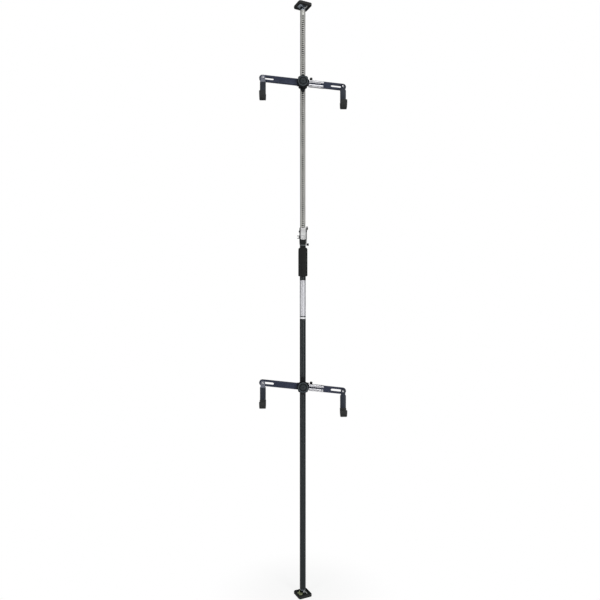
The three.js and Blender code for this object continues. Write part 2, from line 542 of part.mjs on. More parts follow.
// Pins, clip, pawls and release lever of the jack
function pawlShape() {
  const noseBack = pawl.reach - pawl.noseLength;
  return polygon([
    [pawl.bossRadius, 0],
    [pawl.reach - pawl.noseLength / 2, pawl.rise - pawl.noseHeight / 2],
    [pawl.reach, pawl.rise - pawl.noseHeight / 2],
    [pawl.reach, pawl.rise + pawl.noseHeight / 2],
    [noseBack - pawl.neck, pawl.rise + pawl.noseHeight / 2],
    [-pawl.bossRadius, 0],
  ]);
}
function pawlSolid(half) {
  const boss = rodX(pawl.bossRadius, -half, half, facets.pin);
  return join(plateYZ(pawlShape(), -half, half), boss);
}
function makeJackWorks() {
  const side = housing.halfWidth;
  const clipOutside = side + gap + pinClip.sheet;
  const pin = turned([
    [0, -clipOutside - gap - leverPin.headHeight],
    [leverPin.headRadius, -clipOutside - gap - leverPin.headHeight],
    [leverPin.headRadius, -clipOutside - gap],
    [leverPin.radius, -clipOutside - gap],
    [leverPin.radius, side + play],
    [0, side + play],
  ], facets.pin).rotateY(Math.PI / 2).translate(0, -leverPin.front, pinHeight);
  add(root, "lever_pin", pin, finishes.brightSteel);

  // The clip is a plate on the pin with two prongs that stand out sideways above and below the pin head.
  const clipPlate = box(
    -clipOutside, -pinClip.depth / 2, -pinClip.halfWidth,
    -side - gap, pinClip.depth / 2, pinClip.halfWidth,
  );
  const prongs = [-1, 1].map((end) => {
    const middle = end * pinClip.prongSpacing / 2;
    return box(
      -clipOutside - pinClip.prong, -pinClip.depth / 2, middle - pinClip.prongThickness / 2,
      -clipOutside + gap, pinClip.depth / 2, middle + pinClip.prongThickness / 2,
    );
  });
  const clipHole = rodX(leverPin.radius + gap, -clipOutside - overrun, -side, facets.pin);
  add(root, "pin_clip",
    cut(join(clipPlate, ...prongs), clipHole).translate(0, -leverPin.front, pinHeight),
    finishes.zincSteel);

  const driveHalf = housing.pocketHalfWidth - play - lever.cheek - lever.cheekGap;
  const trunnion = rodX(
    pawl.trunnionRadius, -housing.pocketHalfWidth + play, housing.pocketHalfWidth - play, facets.small,
  );
  add(root, "drive_pawl",
    join(pawlSolid(driveHalf), trunnion).translate(0, -pawlPivotFront, drivePivotHeight),
    finishes.blackSteel);

  const plateIn = Math.max(side, collar.topRadius) + play;
  const plateOut = plateIn + releaseLever.thickness;
  const shaftOut = plateOut + play;
  const shaft = turned([
    [0, -side - play - pawlShaft.headHeight],
    [pawlShaft.headRadius, -side - play - pawlShaft.headHeight],
    [pawlShaft.headRadius, -side - play],
    [pawlShaft.radius, -side - play],
    [pawlShaft.radius, shaftOut],
    [0, shaftOut],
  ], facets.pin).rotateY(Math.PI / 2).translate(0, -pawlPivotFront, holdingPivotHeight);
  add(root, "pawl_shaft", shaft, finishes.brightSteel);

  const halfPawl = pawl.thickness / 2;
  const eye = rodX(holdingPawl.eyeRadius, -halfPawl, halfPawl, facets.pin);
  const eyeBore = rodX(pawlShaft.radius + gap, -side, side, facets.pin);
  add(root, "holding_pawl",
    cut(join(pawlSolid(halfPawl), eye), eyeBore).translate(0, -pawlPivotFront, holdingPivotHeight),
    finishes.blackSteel);

  const blade = new THREE.Shape();
  blade.moveTo(releaseLever.bossRadius, 0);
  blade.lineTo(releaseLever.topWidth / 2, releaseLever.topRise);
  blade.lineTo(-releaseLever.topWidth / 2, releaseLever.topRise);
  blade.lineTo(-releaseLever.bossRadius, 0);
  blade.lineTo(-releaseLever.neckWidth / 2, -releaseLever.bottomDrop / 2);
  blade.lineTo(-releaseLever.neckWidth / 2, -releaseLever.bottomDrop);
  blade.lineTo(releaseLever.neckWidth / 2, -releaseLever.bottomDrop);
  blade.lineTo(releaseLever.neckWidth / 2, -releaseLever.bottomDrop / 2);
  const thumb = rodX(releaseLever.padRadius, plateIn, plateOut + releaseLever.padOut, facets.pin)
    .translate(0, 0, -releaseLever.bottomDrop);
  // The tab at its upper end is bent outwards and tapers both ways from its widest place.
  const tabBottom = releaseLever.topRise - releaseLever.tabHeight;
  const tab = plateXZ(polygon([
    [plateIn, tabBottom],
    [plateOut, tabBottom],
    [plateOut + releaseLever.tabOut, tabBottom + releaseLever.tabHeight / 2],
    [plateOut + releaseLever.tabOut / 2, releaseLever.topRise],
    [plateIn, releaseLever.topRise],
  ]), -releaseLever.topWidth / 2, releaseLever.topWidth / 2);
  const boss = rodX(releaseLever.bossRadius, plateIn, plateOut, facets.ring);
  const shaftHole = rodX(pawlShaft.radius + gap, plateIn - overrun, plateOut + overrun, facets.pin);
  add(root, "release_lever",
    cut(join(plateYZ(blade, plateIn, plateOut), boss, thumb, tab), shaftHole)
      .translate(0, -pawlPivotFront, holdingPivotHeight),
    finishes.blackSteel);
}

// Depths of a tier's layers, each measured from the pole's axis towards the load
const armBack = clamp.plateFront + play;
const armFront = armBack + arm.thickness;
const armMiddle = (armBack + armFront) / 2;
const hookBack = armFront + gap + hookBolt.collarHeight + gap;
const hookFront = hookBack + hook.sheet;
const hookLip = hookFront + 2 * hook.bend + hook.sheet;
const knobBack = armFront + play + knob.facePad;

// Clamp: a liner on the tube and two half collars round it, screwed together through their ears
function makeClamp(tier, group) {
  const { below, above, earWidth, plateFront } = clamp;
  const linerTop = above + play + liner.flangeHeight;
  const linerBottom = -below - play - liner.flangeHeight;
  const tubeBore = rodZ(tier.tube.radius + gap, linerBottom - overrun, linerTop + overrun, facets.tube);
  const linerBody = join(
    rodZ(liner.radius, linerBottom, linerTop, facets.tube),
    rodZ(liner.flangeRadius, above + play, linerTop, facets.tube),
    rodZ(liner.flangeRadius, linerBottom, -below - play, facets.tube),
  );
  add(group, tier.name + "_liner", cut(linerBody, tubeBore), finishes.linerPlastic);

  const inner = liner.radius + gap;
  const outer = inner + clamp.wall;
  const ring = rodZ(outer, -below, above, facets.tube);
  const bore = rodZ(inner, -below - overrun, above + overrun, facets.tube);
  const earOut = outer + earWidth;
  const screwAt = outer + earWidth / 2;
  const halfSplit = clamp.split / 2;
  const reach = earOut + overrun;
  const frontHalf = box(-reach, -plateFront, -below - overrun, reach, -halfSplit, above + overrun);
  const backHalf = box(-reach, halfSplit, -below - overrun, reach, plateFront, above + overrun);
  // The ears sit above the middle, where the arm and the knob hide them from the front.
  const ears = box(-earOut, -clamp.earDepth, 0, earOut, clamp.earDepth, above);
  const screwHigh = above / 2;
  const screwHole = rodY(clampScrew.radius + gap, -plateFront, plateFront, facets.small);
  const screwHoles = [-1, 1].map((side) => screwHole.clone().translate(side * screwAt, 0, screwHigh));
  const whole = cut(join(ring, ears), bore, ...screwHoles);

  const plate = polygon([
    [-clamp.plateTopWidth / 2, clamp.plateTop],
    [-clamp.plateWidth / 2, clamp.plateTop - clamp.plateTaper],
    [-clamp.plateWidth / 2, -clamp.plateBottom + clamp.tailTaper],
    [-clamp.plateTail / 2, -clamp.plateBottom],
    [clamp.plateTail / 2, -clamp.plateBottom],
    [clamp.plateWidth / 2, -clamp.plateBottom + clamp.tailTaper],
    [clamp.plateWidth / 2, clamp.plateTop - clamp.plateTaper],
    [clamp.plateTopWidth / 2, clamp.plateTop],
  ]);
  const boltHole = rodY(knobBolt.radius + gap, -plateFront - overrun, -clamp.plateBack - gap, facets.pin);
  const front = cut(
    join(overlapOf(whole, frontHalf), plateXZ(plate, -plateFront, -clamp.plateBack)),
    boltHole,
  );
  add(group, tier.name + "_clamp_front", front, finishes.blackSteel);
  add(group, tier.name + "_clamp_rear", overlapOf(whole, backHalf), finishes.blackSteel);

  const headStart = clamp.earDepth + gap;
  const screw = turned([
    [0, -clamp.earDepth],
    [clampScrew.radius, -clamp.earDepth],
    [clampScrew.radius, headStart],
    [clampScrew.headRadius, headStart],
    [clampScrew.headRadius, headStart + clampScrew.headHeight],
    [clampScrew.socketRadius, headStart + clampScrew.headHeight],
    [clampScrew.socketRadius, headStart + clampScrew.headHeight - clampScrew.socketDepth],
    [0, headStart + clampScrew.headHeight - clampScrew.socketDepth],
  ], facets.small).rotateX(-Math.PI / 2);
  screw.translate(0, 0, screwHigh);
  [["left", -screwAt], ["right", screwAt]].forEach(([side, x]) => {
    add(group, tier.name + "_clamp_screw_" + side, screw.clone().translate(x, 0, 0), finishes.zincSteel);
  });
}

// Arm: the left arm's bar runs on as a slim tail, and the right arm's sleeve slides on that tail.
function armBar(endX, innerX, slotLength) {
  const toEnd = Math.sign(endX);
  const radius = arm.height / 2;
  const shape = new THREE.Shape();
  if (toEnd < 0) {
    shape.absarc(endX, 0, radius, Math.PI / 2, 1.5 * Math.PI);
    shape.lineTo(innerX, -radius);
    shape.lineTo(innerX, radius);
  } else {
    shape.absarc(endX, 0, radius, -Math.PI / 2, Math.PI / 2);
    shape.lineTo(innerX, radius);
    shape.lineTo(innerX, -radius);
  }
  const bar = plateXZ(shape, -armFront, -armBack, facets.bend);
  const slotInner = endX - toEnd * slotLength;
  const slot = plateXZ(
    slotShape(Math.min(endX, slotInner), Math.max(endX, slotInner), arm.slotHeight),
    -armFront - overrun, -armBack + overrun, facets.bend,
  );
  return cut(bar, slot);
}
function makeArm(tier, group) {
  const left = armBar(-arm.leftReach, arm.tailStart, arm.leftSlot);
  const tailHalf = arm.tailHeight / 2;
  const tailBack = armMiddle - arm.tailThickness / 2;
  const tailFront = armMiddle + arm.tailThickness / 2;
  const tail = box(arm.tailStart - overrun, -tailFront, -tailHalf, arm.tailEnd, -tailBack, tailHalf);
  const panelHalf = arm.panelHeight / 2;
  const panel = plateXZ(
    roundedRectangle(-arm.panelOuter, -panelHalf, -arm.panelInner, panelHalf, panelHalf / 2),
    -armFront - overrun, -armFront + arm.panelDepth,
  );
  const boltHole = rodY(knobBolt.radius + gap, -armFront - overrun, -armBack + overrun, facets.pin);
  const dimples = [];
  for (let i = 0; i < arm.dimpleCount; i += 1) {
    dimples.push(rodY(arm.dimpleRadius, -tailFront - overrun, -tailFront + arm.dimpleDepth, facets.hex)
      .translate(thumbKnob.along + i * arm.dimplePitch, 0, 0));
  }
  add(group, tier.name + "_main_bar",
    cut(join(left, tail), panel, boltHole, mergeGeometries(dimples)),
    finishes.armPaint);

  const block = armBar(arm.rightReach, sleeve.end - sleeve.socket, arm.rightSlot);
  const cavity = box(
    sleeve.end - sleeve.socket - overrun, -tailFront - gap, -tailHalf - gap,
    sleeve.cavityEnd, -tailBack + gap, tailHalf + gap,
  );
  add(group, tier.name + "_right_arm", cut(block, cavity), finishes.armPaint);

  // The sleeve's front is two round ridges with a long window between them.
  const halfHeight = sleeve.height / 2;
  const sleeveBack = armMiddle - sleeve.thickness / 2;
  const sleeveFront = armMiddle + sleeve.thickness / 2;
  const ridgeZ = halfHeight - sleeve.ridgeRadius;
  const waist = Math.asin((ridgeZ - sleeve.windowHeight / 2) / (sleeve.ridgeRadius + gap));
  const ridgeY = -sleeveFront + sleeve.ridgeRadius;
  const section = new THREE.Shape();
  section.moveTo(-sleeveBack, -halfHeight + sleeve.backCorner);
  section.lineTo(-sleeveBack, halfHeight - sleeve.backCorner);
  section.lineTo(-sleeveBack - sleeve.backCorner, halfHeight);
  section.absarc(ridgeY, ridgeZ, sleeve.ridgeRadius, Math.PI / 2, Math.PI + waist);
  section.absarc(ridgeY, -ridgeZ, sleeve.ridgeRadius, Math.PI - waist, 1.5 * Math.PI);
  section.lineTo(-sleeveBack - sleeve.backCorner, -halfHeight);
  const bodyOut = plateYZ(section, sleeve.start, sleeve.end, facets.bend);
  const tailWay = box(
    sleeve.start - overrun, -tailFront - gap, -tailHalf - gap,
    sleeve.end + overrun, -tailBack + gap, tailHalf + gap,
  );
  const socket = box(
    sleeve.end - sleeve.socket - gap, -armFront - gap, -arm.height / 2 - gap,
    sleeve.end + overrun, -armBack + gap, arm.height / 2 + gap,
  );
  const window = box(
    sleeve.start + sleeve.windowInset, -sleeveFront - overrun, -sleeve.windowHeight / 2,
    sleeve.end - sleeve.socket - sleeve.windowInset, -armMiddle, sleeve.windowHeight / 2,
  );
  const stemHole = rodZ(thumbKnob.stemRadius + gap, tailHalf, halfHeight + overrun, facets.small)
    .translate(thumbKnob.along, -armMiddle, 0);
  add(group, tier.name + "_slide_sleeve",
    cut(bodyOut, tailWay, socket, window, stemHole),
    finishes.brightSteel);

  const stem = tailHalf + gap;
  const headLow = halfHeight + thumbKnob.neck;
  const headTop = headLow + thumbKnob.headHeight;
  const thumb = turned([
    [0, stem],
    [thumbKnob.stemRadius, stem],
    [thumbKnob.stemRadius, headLow],
    [thumbKnob.headRadius * shares.waist, headLow],
    [thumbKnob.headRadius, headLow + thumbKnob.headHeight * shares.low],
    [thumbKnob.headRadius, headLow + thumbKnob.headHeight * shares.crown],
    [thumbKnob.headRadius * shares.chamfer, headTop - thumbKnob.crown],
    [thumbKnob.headRadius * shares.cap, headTop],
    [0, headTop],
  ], facets.pin).translate(thumbKnob.along, -armMiddle, 0);
  add(group, tier.name + "_thumb_knob", thumb, finishes.knobPlastic);
}

// Knob: eight lobes, a sunk ring round a middle disc, and a stud that screws into the clamp
function makeKnob(tier, group) {
  const lobePoints = [];
  const steps = knob.lobeCount * facets.lobe;
  for (let i = 0; i < steps; i += 1) {
    const angle = 2 * Math.PI * i / steps;
    const wave = Math.pow((1 + Math.cos(knob.lobeCount * angle)) / 2, shares.lobe);
    const radius = knob.radius - knob.bevel - knob.lobeDepth * (1 - wave);
    lobePoints.push([radius * Math.cos(angle), radius * Math.sin(angle)]);
  }
  const body = new THREE.ExtrudeGeometry(polygon(lobePoints), {
    depth: knob.thickness - 2 * knob.bevel,
    bevelEnabled: true,
    bevelThickness: knob.bevel,
    bevelSize: knob.bevel,
    bevelSegments: 1,
    curveSegments: 1,
  }).rotateX(Math.PI / 2).translate(0, -knobBack - knob.bevel, 0);
  const knobFront = -knobBack - knob.thickness;
  const groove = cut(
    rodY(knob.ringOuter, knobFront - overrun, knobFront + knob.ringDepth, facets.ring),
    rodY(knob.ringInner, knobFront - overrun - overrun, knobFront + knob.ringDepth + overrun, facets.ring),
  );
  const hub = rodY(knob.hubRadius, -knobBack - knob.hubHeight, -knobBack + knob.facePad, facets.ring);
  const boltEnd = -knobBack - knob.boltDepth;
  const boltWay = rodY(knobBolt.radius + gap, boltEnd - gap, -armFront + overrun, facets.pin);
  add(group, tier.name + "_knob", cut(join(body, hub), groove, boltWay), finishes.knobPlastic);
  const bolt = rodY(knobBolt.radius, boltEnd, -clamp.plateBack - gap - gap, facets.pin);
  add(group, tier.name + "_knob_bolt", bolt, finishes.zincSteel);
}

// Hook: a strip bent to a J, hung on a shoulder bolt in the arm's slot, with a rubber sleeve on its bend.
// hookSide is the strip seen from the side, grown by a margin on every face but its upper end.
function hookSide(top, margin) {
  const back = -hookBack + margin;
  const front = -hookFront - margin;
  const bendY = -hookFront - hook.bend;
  const bendZ = -hook.drop + hook.bend + hook.sheet;
  const outside = hook.bend + hook.sheet + margin;
  const inside = hook.bend - margin;
  const shape = new THREE.Shape();
  shape.moveTo(back, top);
  shape.lineTo(back, bendZ);
  shape.absarc(bendY, bendZ, outside, 0, -Math.PI, true);
  shape.lineTo(bendY - outside, bendZ + hook.lip + margin);
  shape.lineTo(bendY - inside, bendZ + hook.lip + margin);
  shape.absarc(bendY, bendZ, inside, -Math.PI, 0, false);
  shape.lineTo(front, top);
  return shape;
}
function makeHook(tier, side, group) {
  const name = tier.name + "_" + side;
  const half = hook.width / 2;
  const tab = hook.tabWidth / 2;
  const sideForm = plateYZ(hookSide(tab + overrun, 0), -half, half, facets.bend);
  const faceShape = new THREE.Shape();
  faceShape.absarc(0, 0, tab, 0, Math.PI);
  faceShape.lineTo(-tab, -hook.tabDrop);
  faceShape.lineTo(-half, -hook.tabDrop - hook.shoulder);
  faceShape.lineTo(-half, -hook.drop - overrun);
  faceShape.lineTo(half, -hook.drop - overrun);
  faceShape.lineTo(half, -hook.tabDrop - hook.shoulder);
  faceShape.lineTo(tab, -hook.tabDrop);
  const faceForm = plateXZ(faceShape, -hookLip - overrun, -hookBack + overrun, facets.bend);
  const hole = rodY(hookBolt.radius + gap, -hookFront - overrun, -hookBack + overrun, facets.pin);
  add(group, name + "_hook", cut(overlapOf(sideForm, faceForm), hole), finishes.hookPaint);

  const top = -hook.drop + rubber.top;
  const skin = half + gap + rubber.sideWall;
  const outer = plateYZ(hookSide(top, rubber.wall + gap), -skin, skin, facets.bend);
  const inner = plateYZ(hookSide(top + overrun, gap), -half - gap, half + gap, facets.bend);
  add(group, name + "_rubber", cut(outer, inner), finishes.hookRubber);

  const nutStart = armBack - gap - hookBolt.washerHeight;
  const bolt = turned([
    [0, hookFront + gap + hookBolt.headHeight],
    [hookBolt.headRadius * shares.crown, hookFront + gap + hookBolt.headHeight],
    [hookBolt.headRadius, hookFront + gap + hookBolt.headHeight * shares.shoulder],
    [hookBolt.headRadius, hookFront + gap],
    [hookBolt.radius, hookFront + gap],
    [hookBolt.radius, hookBack - gap],
    [hookBolt.collarRadius, hookBack - gap],
    [hookBolt.collarRadius, armFront + gap],
    [hookBolt.radius, armFront + gap],
    [hookBolt.radius, nutStart - hookBolt.nutHeight - hookBolt.tipLength],
    [0, nutStart - hookBolt.nutHeight - hookBolt.tipLength],
  ].reverse(), facets.pin).rotateX(Math.PI / 2);
  add(group, name + "_bolt", bolt, finishes.brightSteel);
  const nutBody = join(
    rodY(hookBolt.nutRadius, -nutStart - gap, -nutStart + hookBolt.nutHeight, facets.hex),
    rodY(hookBolt.washerRadius, -nutStart - hookBolt.washerHeight, -nutStart, facets.pin),
  );
  const nutHole = rodY(hookBolt.radius + gap, -armFront, 0, facets.pin);
  add(group, name + "_nut", cut(nutBody, nutHole), finishes.zincSteel);
}

function makeTier(tier) {
  const group = groupAt(root, 0, 0, tier.height);
  makeClamp(tier, group);
  const tilt = arm.tiltDegrees * degrees;
  const tilting = groupAt(group, 0, 0, 0);
  tilting.rotation.y = tilt;
  makeArm(tier, tilting);
  makeKnob(tier, group);
  [["left", arm.leftInset - arm.leftReach], ["right", arm.rightReach]].forEach(([side, reach]) => {
    makeHook(tier, side, groupAt(group, reach * Math.cos(tilt), 0, -reach * Math.sin(tilt)));
  });
}

makeLowerTube();
makeUpperTube();
makeFoot("floor", lowerTube, false);
makeFoot("ceiling", upperTube, true);
makeHousing();
makeLever();
makeGrip();
makeJackWorks();
tiers.forEach(makeTier);

export default root;
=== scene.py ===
"""A two tier rack on a telescopic pole between floor and ceiling: surfaces, finishes and stage.

Sizes are in metres in the rack's own frame: +Z up, X along the arms, -Y towards the load.
"""

import json
import math

import bmesh
import bpy
import numpy as np
from bpy.props import FloatProperty, FloatVectorProperty, PointerProperty
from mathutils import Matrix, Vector

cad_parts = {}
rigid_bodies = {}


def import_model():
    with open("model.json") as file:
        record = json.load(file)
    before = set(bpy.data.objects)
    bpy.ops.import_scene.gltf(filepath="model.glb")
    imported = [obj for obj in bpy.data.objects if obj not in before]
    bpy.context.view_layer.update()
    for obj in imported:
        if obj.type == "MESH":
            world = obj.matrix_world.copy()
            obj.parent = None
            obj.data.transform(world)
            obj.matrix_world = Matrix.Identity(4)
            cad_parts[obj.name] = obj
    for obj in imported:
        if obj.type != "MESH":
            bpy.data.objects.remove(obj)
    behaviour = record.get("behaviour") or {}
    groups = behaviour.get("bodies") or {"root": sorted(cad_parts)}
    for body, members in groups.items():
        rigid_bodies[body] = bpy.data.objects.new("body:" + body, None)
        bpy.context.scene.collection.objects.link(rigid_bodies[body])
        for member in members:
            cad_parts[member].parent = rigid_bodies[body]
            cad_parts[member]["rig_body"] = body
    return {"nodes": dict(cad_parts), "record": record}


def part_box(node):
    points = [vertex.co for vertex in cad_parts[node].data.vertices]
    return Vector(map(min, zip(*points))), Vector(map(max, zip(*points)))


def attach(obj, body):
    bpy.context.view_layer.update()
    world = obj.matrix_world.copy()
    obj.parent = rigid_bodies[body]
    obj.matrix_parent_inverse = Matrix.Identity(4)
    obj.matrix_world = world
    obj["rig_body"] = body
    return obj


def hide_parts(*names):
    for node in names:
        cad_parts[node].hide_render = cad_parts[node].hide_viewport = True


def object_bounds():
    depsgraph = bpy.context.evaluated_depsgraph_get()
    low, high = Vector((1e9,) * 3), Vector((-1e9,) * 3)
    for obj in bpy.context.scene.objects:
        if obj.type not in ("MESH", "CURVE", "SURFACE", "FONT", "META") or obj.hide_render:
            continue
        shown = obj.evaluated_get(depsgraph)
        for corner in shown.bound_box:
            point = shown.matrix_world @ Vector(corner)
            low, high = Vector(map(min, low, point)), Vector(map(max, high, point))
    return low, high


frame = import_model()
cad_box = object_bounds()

bl_info = {
    "name": "Two Tier Pole Rack",
    "version": (1, 0, 0),
    "blender": (4, 5, 0),
    "location": "3D View > Sidebar > Pole Rack",
    "description": "Builds the finished surfaces of a pole rack with two tilting, telescopic hook arms",
    "category": "Object",
}

MM = 0.001
TIERS = ("upper", "lower")
SIDES = ("left", "right")

# Factors on a place: the first two keep the part along an axis, the other two the part square to an axis
ALONG_X = (1, 0, 0)
ALONG_Z = (0, 0, 1)
ACROSS_Y = (1, 0, 1)
ACROSS_Z = (1, 1, 0)

MERGE_MADE = 1e-6  # points of a new surface that are closer than this become one
MERGE_CAD = 2e-6
FLAT_DEGREES = 0.6  # CAD triangles that meet at less than this become one face
CREASE_DEGREES = 38.0  # CAD edges above this are rounded
ON_AXIS = 0.03 * MM  # smallest radius of a turned surface, which closes over its axis
TONE_TO_ROUGHNESS = 0.06
BUMP_STRENGTH = 0.5
COAT_ROUGHNESS = 0.25
FRONT_COLUMNS, BACK_COLUMNS = 8, 48  # columns of a tube's wall over a window, and over the rest


def linear(code):
    """Scene linear colour of a hexadecimal display colour, by the usual display curve."""
    shown = np.array([int(code[i:i + 2], 16) / 255 for i in (0, 2, 4)])
    low = shown / 12.92
    high = ((shown + 0.055) / 1.055) ** 2.4
    return tuple(float(v) for v in np.where(shown <= 0.04045, low, high))


# Sizes and colours that can be set in the sidebar


def length(name, description, millimetres):
    """A length property with its default in millimetres."""
    return FloatProperty(name=name, description=description, default=millimetres * MM, unit="LENGTH", precision=4)


def paint(name, description, code):
    """A colour property with a hexadecimal default."""
    return FloatVectorProperty(
        name=name, description=description, default=linear(code), subtype="COLOR", size=3, min=0.0, max=1.0
    )


class RackSizes(bpy.types.PropertyGroup):
    """Sizes of the finished surfaces"""

    upper_tube_radius: length("Upper tube radius", "Outer radius of the slotted tube", 12.7)
    upper_tube_wall: length("Upper tube wall", "Wall of the slotted tube", 1.5)
    lower_tube_radius: length("Lower tube radius", "Outer radius of the painted tube", 14.3)
    lower_tube_wall: length("Lower tube wall", "Wall of the painted tube", 1.2)
    rack_pitch: length("Rack pitch", "Distance from slot to slot", 10.0)
    slot_width: length("Slot width", "Width of a rack slot", 9.6)
    slot_height: length("Slot height", "Height of a rack slot", 5.6)
    label_thickness: length("Label thickness", "Thickness of the bare label and the band below it", 0.05)
    knob_radius: length("Knob radius", "Radius of the clamping knob over its lobes", 29.4)
    knob_lobe_depth: length("Lobe depth", "Depth of the hollows between the knob's lobes", 3.6)
    hook_bend: length("Hook bend", "Inner radius of the hook's bend", 22.0)
    hook_sheet: length("Hook strip", "Thickness of the hook's steel strip", 5.0)
    edge_radius: length("Edge radius", "Rounding of sheared edges, on which that of other edges is scaled", 0.4)


class RackColours(bpy.types.PropertyGroup):
    """Colours of the finishes"""

    galvanised: paint("Galvanised tube", "Slotted tube", "aaaaa6")
    tube_black: paint("Tube black", "Lower tube's powder coat", "1a1f21")
    cast_metal: paint("Cast housing", "Jack housing", "e4e4e4")
    arm_paint: paint("Arm paint", "Arms' powder coat", "282d3c")
    hook_paint: paint("Hook paint", "Hooks' powder coat", "262a32")
    fitting_black: paint("Fitting black", "Clamps, collar, pawls and release lever", "15181a")
    bright_steel: paint("Bright steel", "Slide sleeve and bolts", "d4d4d8")
    zinc: paint("Zinc", "Screws, nuts and clip", "c3c6ca")
    plastic: paint("Knob plastic", "Knobs", "24292c")
    grip: paint("Grip plastic", "Lever grip", "141515")
    rubber: paint("Rubber", "Pads and hook sleeves", "252626")
    sheet_steel: paint("Sheet steel", "Foot brackets", "98a1ab")
    label: paint("Label", "Bare label", "b0b0b4")


# Surfaces from arrays of points


def soften(points, radius, steps=4):
    """Rounds the corners of a polyline. Each corner gives way to a parabola that starts and ends a radius away.

    A point of the parabola is (1-t)^2 A + 2t(1-t) C + t^2 B, with C the corner and A and B on its two sides.
    """
    p = np.asarray(points, float)
    sides = [np.roll(p, shift, axis=0) - p for shift in (1, -1)]
    lengths = [np.linalg.norm(side, axis=1, keepdims=True) for side in sides]
    most, tiny = 0.45, 1e-9  # share of the shorter side that a corner may take, and guard against no length
    reach = np.minimum(radius, most * np.minimum(*lengths))
    a, b = (p + side / np.maximum(long, tiny) * reach for side, long in zip(sides, lengths))
    t = np.linspace(0, 1, steps + 1)[None, :, None]
    arcs = (1 - t) ** 2 * a[:, None] + 2 * t * (1 - t) * p[:, None] + t ** 2 * b[:, None]
    return np.vstack([p[:1], arcs[1:-1].reshape(-1, p.shape[1]), p[-1:]])


def make_mesh(name, points, faces):
    """A mesh from an array of points and lists of corner numbers, with doubles merged and faces turned out."""
    mesh = bpy.data.meshes.new(name)
    mesh.from_pydata(np.asarray(points, float).tolist(), [], [list(map(int, f)) for f in faces])
    work = bmesh.new()
    work.from_mesh(mesh)
    bmesh.ops.remove_doubles(work, verts=work.verts, dist=MERGE_MADE)
    bmesh.ops.recalc_face_normals(work, faces=work.faces)
    work.to_mesh(mesh)
    work.free()
    return mesh


def place(name, mesh, body, material, nodes=(), smooth=35.0):
    """Links a finished mesh, shades it smooth below an angle in degrees, and gives its body, slot and nodes."""
    mesh.shade_smooth()
    mesh.set_sharp_from_angle(angle=math.radians(smooth))
    obj = bpy.data.objects.new(name, mesh)
    bpy.context.scene.collection.objects.link(obj)
    mesh.materials.clear()
    mesh.materials.append(material)
    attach(obj, body)
    if nodes:
        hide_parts(*nodes)
    return obj


def swept_grid(name, rings, body, material, nodes):
    """A closed surface through rings of equal point counts. Its first and last rings are filled flat.

    Point j of ring i has the number i n + j, and a quad joins it to j + 1 mod n and to the same two of ring i + 1.
    """
    count, around = rings.shape[:2]
    i = np.arange(count - 1)[:, None] * around
    j = np.arange(around)[None, :]
    after = (j + 1) % around
    faces = np.stack([i + j, i + after, i + around + after, i + around + j], axis=-1).reshape(-1, 4).tolist()
    faces += [range(around)[::-1], range((count - 1) * around, count * around)]
    place(name, make_mesh(name, rings.reshape(-1, 3), faces), body, material, nodes)


def turned_rings(profile, sides, shape, core=ON_AXIS):
    """Rings of a turned form. A profile point (r, h) becomes s(cos a, sin a) at height h.

    The radius s is shape(r, h, a), which makes lobes, flutes and sockets, and no r is smaller than the core.
    """
    angle = np.linspace(0, 2 * math.pi, sides, endpoint=False)[None, :]
    height = np.repeat(profile[:, 1:], sides, axis=1)
    radius = shape(np.repeat(np.maximum(profile[:, :1], core), sides, axis=1), height, angle)
    return np.stack([radius * np.cos(angle), radius * np.sin(angle), height], axis=-1)


def along_y(rings, centre):
    """Turned rings laid along -Y from a centre: height becomes the distance towards the load."""
    out = np.stack([rings[..., 0], -rings[..., 2], rings[..., 1]], axis=-1)
    return out + np.asarray(centre, float)


def windowed_tube(outer, inner, angles, heights, kept):
    """A tube whose wall cells are kept or left out by a mask over heights and angles.

    Kept cells give an outer and an inner face. Each border between a kept and a missing cell gives a wall face,
    so windows and ends are closed. A point is at (radius cos angle, radius sin angle, height), and the angles are
    a pair of lists, one for each face.
    """
    rows, columns = len(heights), len(angles[0])
    points = np.concatenate([
        np.stack([radius * np.cos(a), radius * np.sin(a), z], axis=-1).reshape(-1, 3)
        for radius, (a, z) in ((outer, np.meshgrid(angles[0], heights)), (inner, np.meshgrid(angles[1], heights)))
    ])
    shift = rows * columns
    index = np.arange(shift).reshape(rows, columns)
    right = np.roll(index, -1, axis=1)
    cells = np.stack([index[:-1], right[:-1], right[1:], index[1:]], axis=-1)[kept]
    faces = [cells, cells[:, ::-1] + shift]
    side = kept != np.roll(kept, 1, axis=1)
    faces.append(np.stack([
        index[:-1][side], index[1:][side], index[1:][side] + shift, index[:-1][side] + shift,
    ], axis=-1))
    padded = np.vstack([np.zeros((1, columns), bool), kept, np.zeros((1, columns), bool)])
    level = padded[1:] != padded[:-1]
    faces.append(np.stack([
        index[level], right[level], right[level] + shift, index[level] + shift,
    ], axis=-1))
    quads = np.vstack(faces)
    used, quads = np.unique(quads, return_inverse=True)
    return points[used], quads.reshape(-1, 4)


def front_angles(half_sector, front_columns, rest_columns):
    """Angles round a tube with finer, even columns over a sector that faces -Y."""
    middle = -math.pi / 2
    front = np.linspace(middle - half_sector, middle + half_sector, front_columns, endpoint=False)
    rest = np.linspace(middle + half_sector, middle + 2 * math.pi - half_sector, rest_columns, endpoint=False)
    return np.concatenate([front, rest])


def window_angles(half_width, outer, inner):
    """Angles of both faces of a tube with a window that is cut straight through, so its sides are parallel.

    The window takes the first FRONT_COLUMNS columns, and a side is at the angle whose sine is half width / radius.
    """
    return [front_angles(math.asin(half_width / radius), FRONT_COLUMNS, BACK_COLUMNS) for radius in (outer, inner)]


